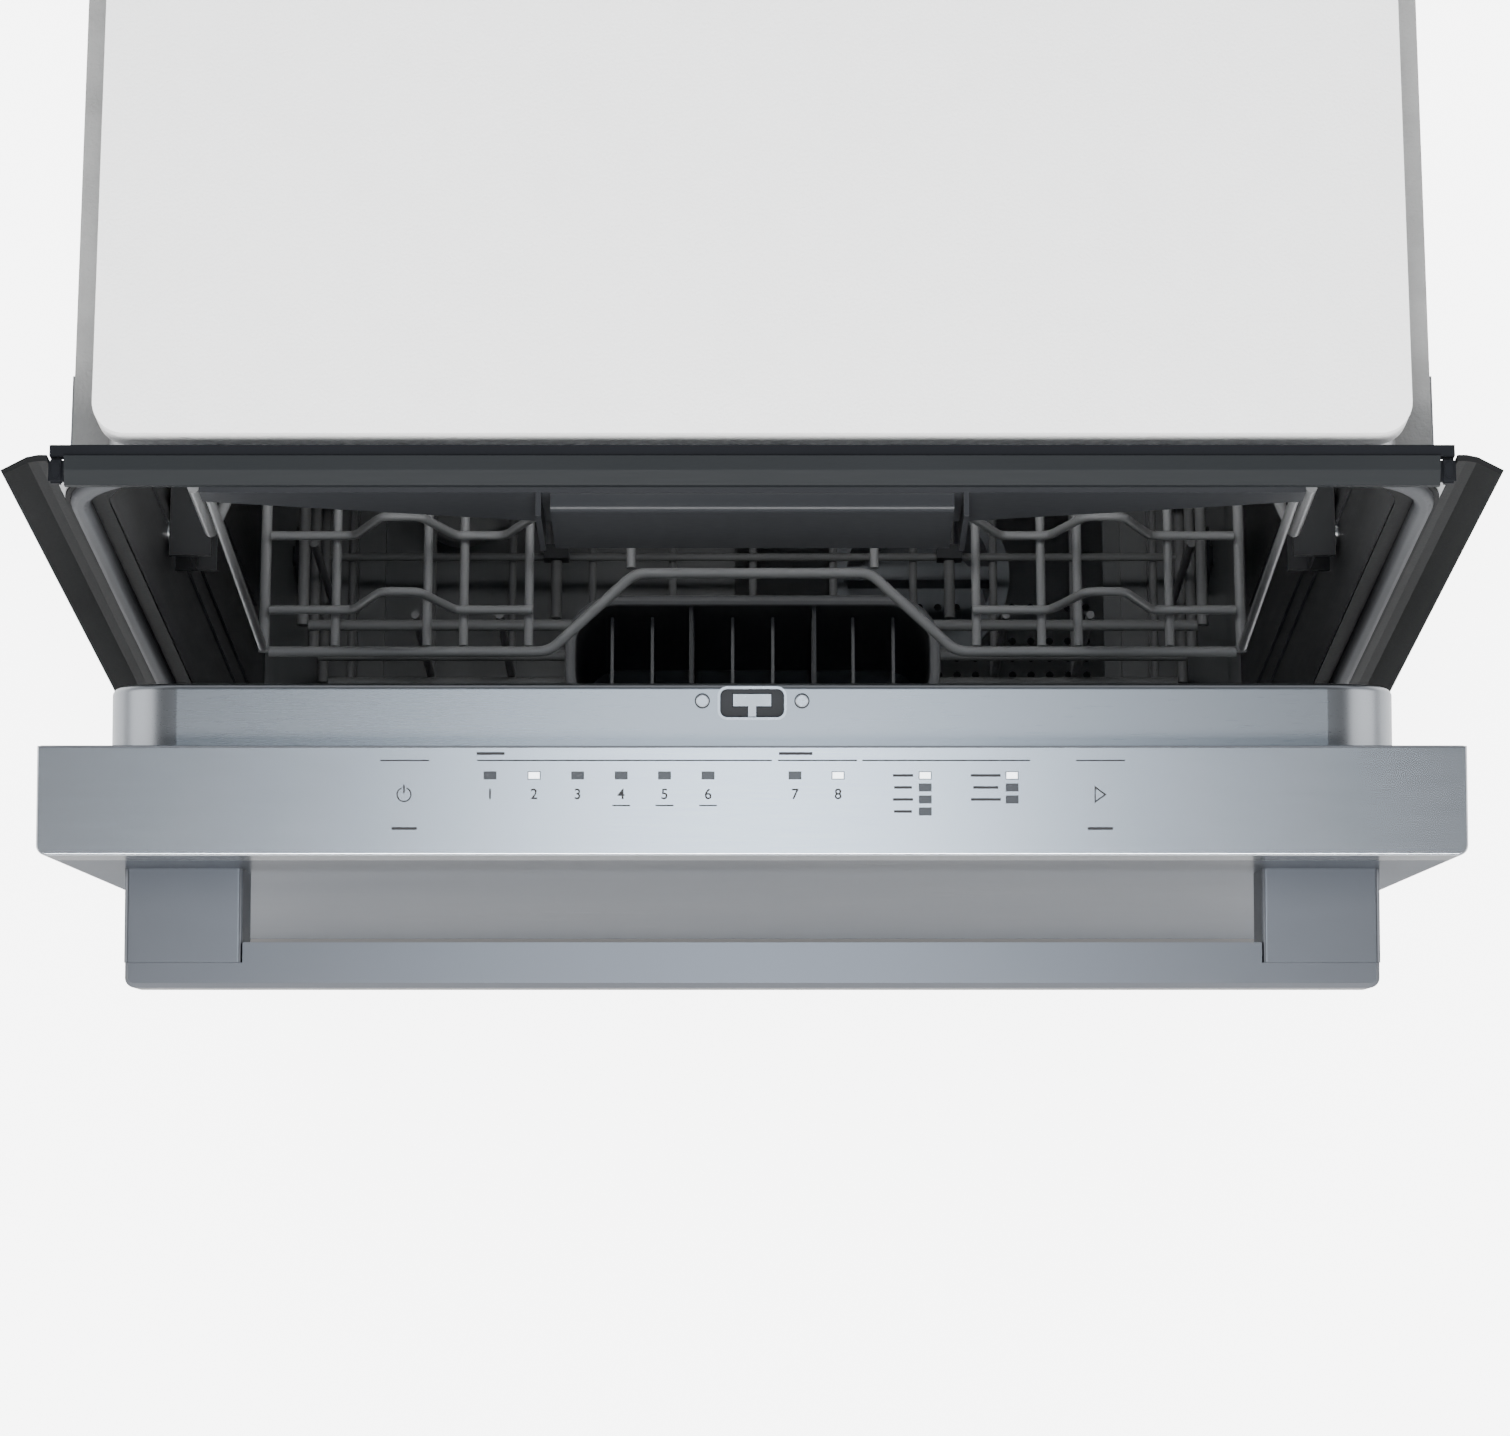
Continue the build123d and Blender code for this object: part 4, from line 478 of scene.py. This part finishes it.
def ring(x, back, outer, inner, start, end, steps):
    turn = [math.radians(start + (end - start) * i / steps) for i in range(steps + 1)]
    for a, b in zip(turn, turn[1:]):
        mark([(inner * math.cos(a), inner * math.sin(a)), (outer * math.cos(a), outer * math.sin(a)),
              (outer * math.cos(b), outer * math.sin(b)), (inner * math.cos(b), inner * math.sin(b))],
             x, back)


for start, end in ((-0.1555, -0.1350), (-0.1150, 0.0083), (0.0108, 0.0439), (0.0460, 0.1162),
                   (0.1354, 0.1559)):
    bar((start + end) / 2, line_row, end - start, line_thick)
ring_outer, ring_inner, ring_start, ring_end = 0.0032, 0.0026, 112, 428
ring(power_x, digit_row, ring_outer, ring_inner, ring_start, ring_end, 30)
bar(power_x, digit_row + 0.0023, 0.0007, 0.0036)
tip = [Vector((-0.0023, -0.0037)), Vector((0.0028, 0)), Vector((-0.0023, 0.0037))]
tip_mid = sum(tip, Vector((0, 0))) / 3
core_share = 0.66
core = [tip_mid + (corner - tip_mid) * core_share for corner in tip]
for i in range(3):
    mark([tip[i - 1], tip[i], core[i], core[i - 1]], start_x, digit_row)
for x in (-0.0547, -0.0366, -0.0184):
    bar(x, short_row, 0.0075, line_thick)
for x, count, width, less in ((0.0630, 4, 0.0085, 0.001), (0.0976, 3, 0.0125, 0.002)):
    for row in range(count):
        bar(x, window_row - list_step * row, width - less * (row % 2), list_thick)
for x, width in ((-0.1093, 0.0117), (0.0182, 0.0140)):
    bar(x, label_row, width, bar_thick)
for side in (-1, 1):
    bar(side * start_x, foot_row, 0.0105, bar_thick)
marks = bpy.data.objects.new("panel_marks", bpy.data.meshes.new("panel_marks"))
ink.to_mesh(marks.data)
ink.free()
marks.data.transform(ajar)
bpy.context.scene.collection.objects.link(marks)
ink_black = finish("Panel Ink", (0.006, 0.006, 0.007), (0.012, 0.012, 0.014), 0.6, wear=0.3, patch=80.0)
marks.data.materials.append(ink_black)
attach(marks, "door")

# Program and option numbers under their windows, screened in the same ink.
# They are plain digits, each made a mesh and laid on the panel as the marks are.
digit_size, digit_bold = 0.0062, 0.00008
for digit, x in enumerate((-0.1095, -0.0911, -0.0729, -0.0547, -0.0366, -0.0184, 0.0179, 0.0359), 1):
    text = bpy.data.curves.new("digit", "FONT")
    text.body = str(digit)
    text.size = digit_size
    text.offset = digit_bold
    text.align_x = "CENTER"
    text.align_y = "CENTER"
    holder = bpy.data.objects.new("digit", text)
    bpy.context.scene.collection.objects.link(holder)
    bpy.context.view_layer.update()
    flat = bpy.data.meshes.new_from_object(holder.evaluated_get(bpy.context.evaluated_depsgraph_get()))
    bpy.data.objects.remove(holder)
    flat.transform(ajar @ Matrix.Translation((x, panel_front + digit_row, panel_top + ink_lift)))
    flat.materials.clear()
    flat.materials.append(ink_black)
    number = bpy.data.objects.new(f"panel_digit_{digit}", flat)
    bpy.context.scene.collection.objects.link(number)
    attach(number, "door")

# Lit windows: the four of the panel that are on in the photograph, lit by lamps on the board.
# Each is a thin glowing plastic insert over its window.
pane_size, pane_lift = (0.0046, 0.0027, 0.00006), 0.00003
glow = bpy.data.materials.new("Window Glow")
glow.use_nodes = True
glow_shader = glow.node_tree.nodes["Principled BSDF"]
glow_shader.inputs["Base Color"].default_value = (0.9, 0.95, 1.0, 1)
glow_shader.inputs["Emission Color"].default_value = (0.92, 0.97, 1.0, 1)
glow_shader.inputs["Emission Strength"].default_value = 1.6
lit_mesh = bmesh.new()
for x in (-0.0911, 0.0359, 0.0723, 0.1086):
    lit = bmesh.ops.create_cube(lit_mesh, size=1.0)["verts"]
    bmesh.ops.scale(lit_mesh, verts=lit, vec=pane_size)
    bmesh.ops.translate(lit_mesh, verts=lit, vec=(x, panel_front + window_row, panel_top + pane_lift))
lights = bpy.data.objects.new("lit_windows", bpy.data.meshes.new("lit_windows"))
lit_mesh.to_mesh(lights.data)
lit_mesh.free()
lights.data.transform(ajar)
bpy.context.scene.collection.objects.link(lights)
lights.data.materials.append(glow)
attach(lights, "door")

# Studio floor: a wide white board that glows for the camera alone, so that it fades into the backdrop.
# It is painted dark under the machine, where a real floor lies in shadow.
floor_half = 8
shadow_mid, shadow_half, shadow_edge = (0, 0.0725, 0), (0.330, 0.300, 1), 0.92
shadow_tone, floor_tone, floor_glow = 0.11, 0.93, 5.0
floor = bpy.data.objects.new("studio_floor", bpy.data.meshes.new("studio_floor"))
corners = [(x * floor_half, y * floor_half, 0) for x, y in ((-1, -1), (1, -1), (1, 1), (-1, 1))]
floor.data.from_pydata(corners, [], [(0, 1, 2, 3)])
bpy.context.scene.collection.objects.link(floor)
floor_white = bpy.data.materials.new("Studio White")
floor_white.use_nodes = True
floor_shader = floor_white.node_tree.nodes["Principled BSDF"]
floor_shader.inputs["Roughness"].default_value = 0.9
floor_shader.inputs["Emission Color"].default_value = (1, 1, 1, 1)
fn, fl = floor_white.node_tree.nodes, floor_white.node_tree.links
ray, spot, under = fn.new("ShaderNodeLightPath"), fn.new("ShaderNodeTexCoord"), fn.new("ShaderNodeMapping")
away, apart, most = fn.new("ShaderNodeVectorMath"), fn.new("ShaderNodeSeparateXYZ"), fn.new("ShaderNodeMath")
shade, tone = fn.new("ShaderNodeMapRange"), fn.new("ShaderNodeMapRange")
white, lift = fn.new("ShaderNodeMath"), fn.new("ShaderNodeMath")
away.operation, most.operation = "ABSOLUTE", "MAXIMUM"
white.operation, lift.operation = "MULTIPLY", "MULTIPLY"
under.vector_type = "TEXTURE"
under.inputs["Location"].default_value = shadow_mid
under.inputs["Scale"].default_value = shadow_half
shade.interpolation_type = "SMOOTHSTEP"
shade.inputs["From Min"].default_value = shadow_edge
tone.inputs["To Min"].default_value = shadow_tone
tone.inputs["To Max"].default_value = floor_tone
white.inputs[1].default_value = floor_glow
fl.new(spot.outputs["Object"], under.inputs["Vector"])
fl.new(under.outputs["Vector"], away.inputs[0])
fl.new(away.outputs[0], apart.inputs[0])
fl.new(apart.outputs["X"], most.inputs[0])
fl.new(apart.outputs["Y"], most.inputs[1])
fl.new(most.outputs[0], shade.inputs["Value"])
fl.new(shade.outputs["Result"], tone.inputs["Value"])
fl.new(tone.outputs["Result"], floor_shader.inputs["Base Color"])
fl.new(ray.outputs["Is Camera Ray"], white.inputs[0])
fl.new(white.outputs[0], lift.inputs[0])
fl.new(shade.outputs["Result"], lift.inputs[1])
fl.new(lift.outputs[0], floor_shader.inputs["Emission Strength"])
floor.data.materials.append(floor_white)

# Studio lamps: a cool box overhead that makes the panel brightest in its middle, and pale fill all round.
# The large fills and the small glow in the tub are kept out of the steel's reflections.
cool_white = (0.76, 0.88, 1.0)
for name, place, size, power, aim in (
        ("overhead_box", (0.0, -0.42, 3.4), (0.38, 1.3), 9.0, (0, -0.30, 0.8)),
        ("tub_glow", (0.0, front_y + 0.20, 0.834), (0.46, 0.10), 2.2, (0, front_y + 0.42, 0.3)),
        ("opening_fill", (0.0, -1.5, 2.7), (1.2, 0.6), 70.0, (0, 0.0, 0.6)),
        ("left_fill", (-3.4, -0.5, 2.2), (3.0, 3.0), 45.0, (0, 0, 0.6)),
        ("right_fill", (3.4, -0.5, 2.2), (3.0, 3.0), 45.0, (0, 0, 0.6)),
        ("front_fill", (0.0, -3.9, 3.6), (4.0, 2.0), 330.0, (0, -0.6, 0.2)),
        ("rear_fill", (0.0, 3.4, 3.6), (4.0, 2.0), 200.0, (0, 0.6, 0.4))):
    data = bpy.data.lights.new(name, "AREA")
    data.shape = "RECTANGLE"
    data.size, data.size_y = size
    data.energy = power
    lamp = bpy.data.objects.new(name, data)
    lamp.location = place
    lamp.visible_camera = False
    lamp.visible_glossy = name not in ("front_fill", "rear_fill", "tub_glow")
    if name == "overhead_box":
        data.color = cool_white
    lamp.rotation_euler = (Vector(aim) - Vector(place)).to_track_quat("-Z", "Y").to_euler()
    bpy.context.scene.collection.objects.link(lamp)

# Studio air: the even light of a white room, bright near the horizon and dimmer overhead.
# The dim zenith keeps the level steel from turning white.
low_rise, high_rise, horizon_light, zenith_light = 0.45, 0.82, 0.85, 0.20
world = bpy.data.worlds.new("Studio")
world.use_nodes = True
an, al = world.node_tree.nodes, world.node_tree.links
air = an["Background"]
air.inputs["Color"].default_value = (0.95, 0.96, 1.0, 1)
way, rise, dim = an.new("ShaderNodeTexCoord"), an.new("ShaderNodeSeparateXYZ"), an.new("ShaderNodeMapRange")
dim.interpolation_type = "SMOOTHSTEP"
for label, value in (("From Min", low_rise), ("From Max", high_rise), ("To Min", horizon_light),
                     ("To Max", zenith_light)):
    dim.inputs[label].default_value = value
al.new(way.outputs["Generated"], rise.inputs[0])
al.new(rise.outputs["Z"], dim.inputs["Value"])
al.new(dim.outputs["Result"], air.inputs["Strength"])
bpy.context.scene.world = world

# Camera: high in front of the door and looking down into the opening, as in the photograph.
# Its focal length, place and tilt were fitted to the photograph's edges.
sensor_mm, focal_px, photo_width_px = 36.0, 4730.4, 1510.0
camera_tilt = math.radians(14.34)
lens = bpy.data.cameras.new("camera")
lens.sensor_width = sensor_mm
lens.lens = sensor_mm * focal_px / photo_width_px
camera = bpy.data.objects.new("camera", lens)
camera.location = (0.0012, front_y - 0.5987, 2.7617)
camera.rotation_euler = (camera_tilt, 0, 0)
bpy.context.scene.collection.objects.link(camera)
bpy.context.scene.camera = camera
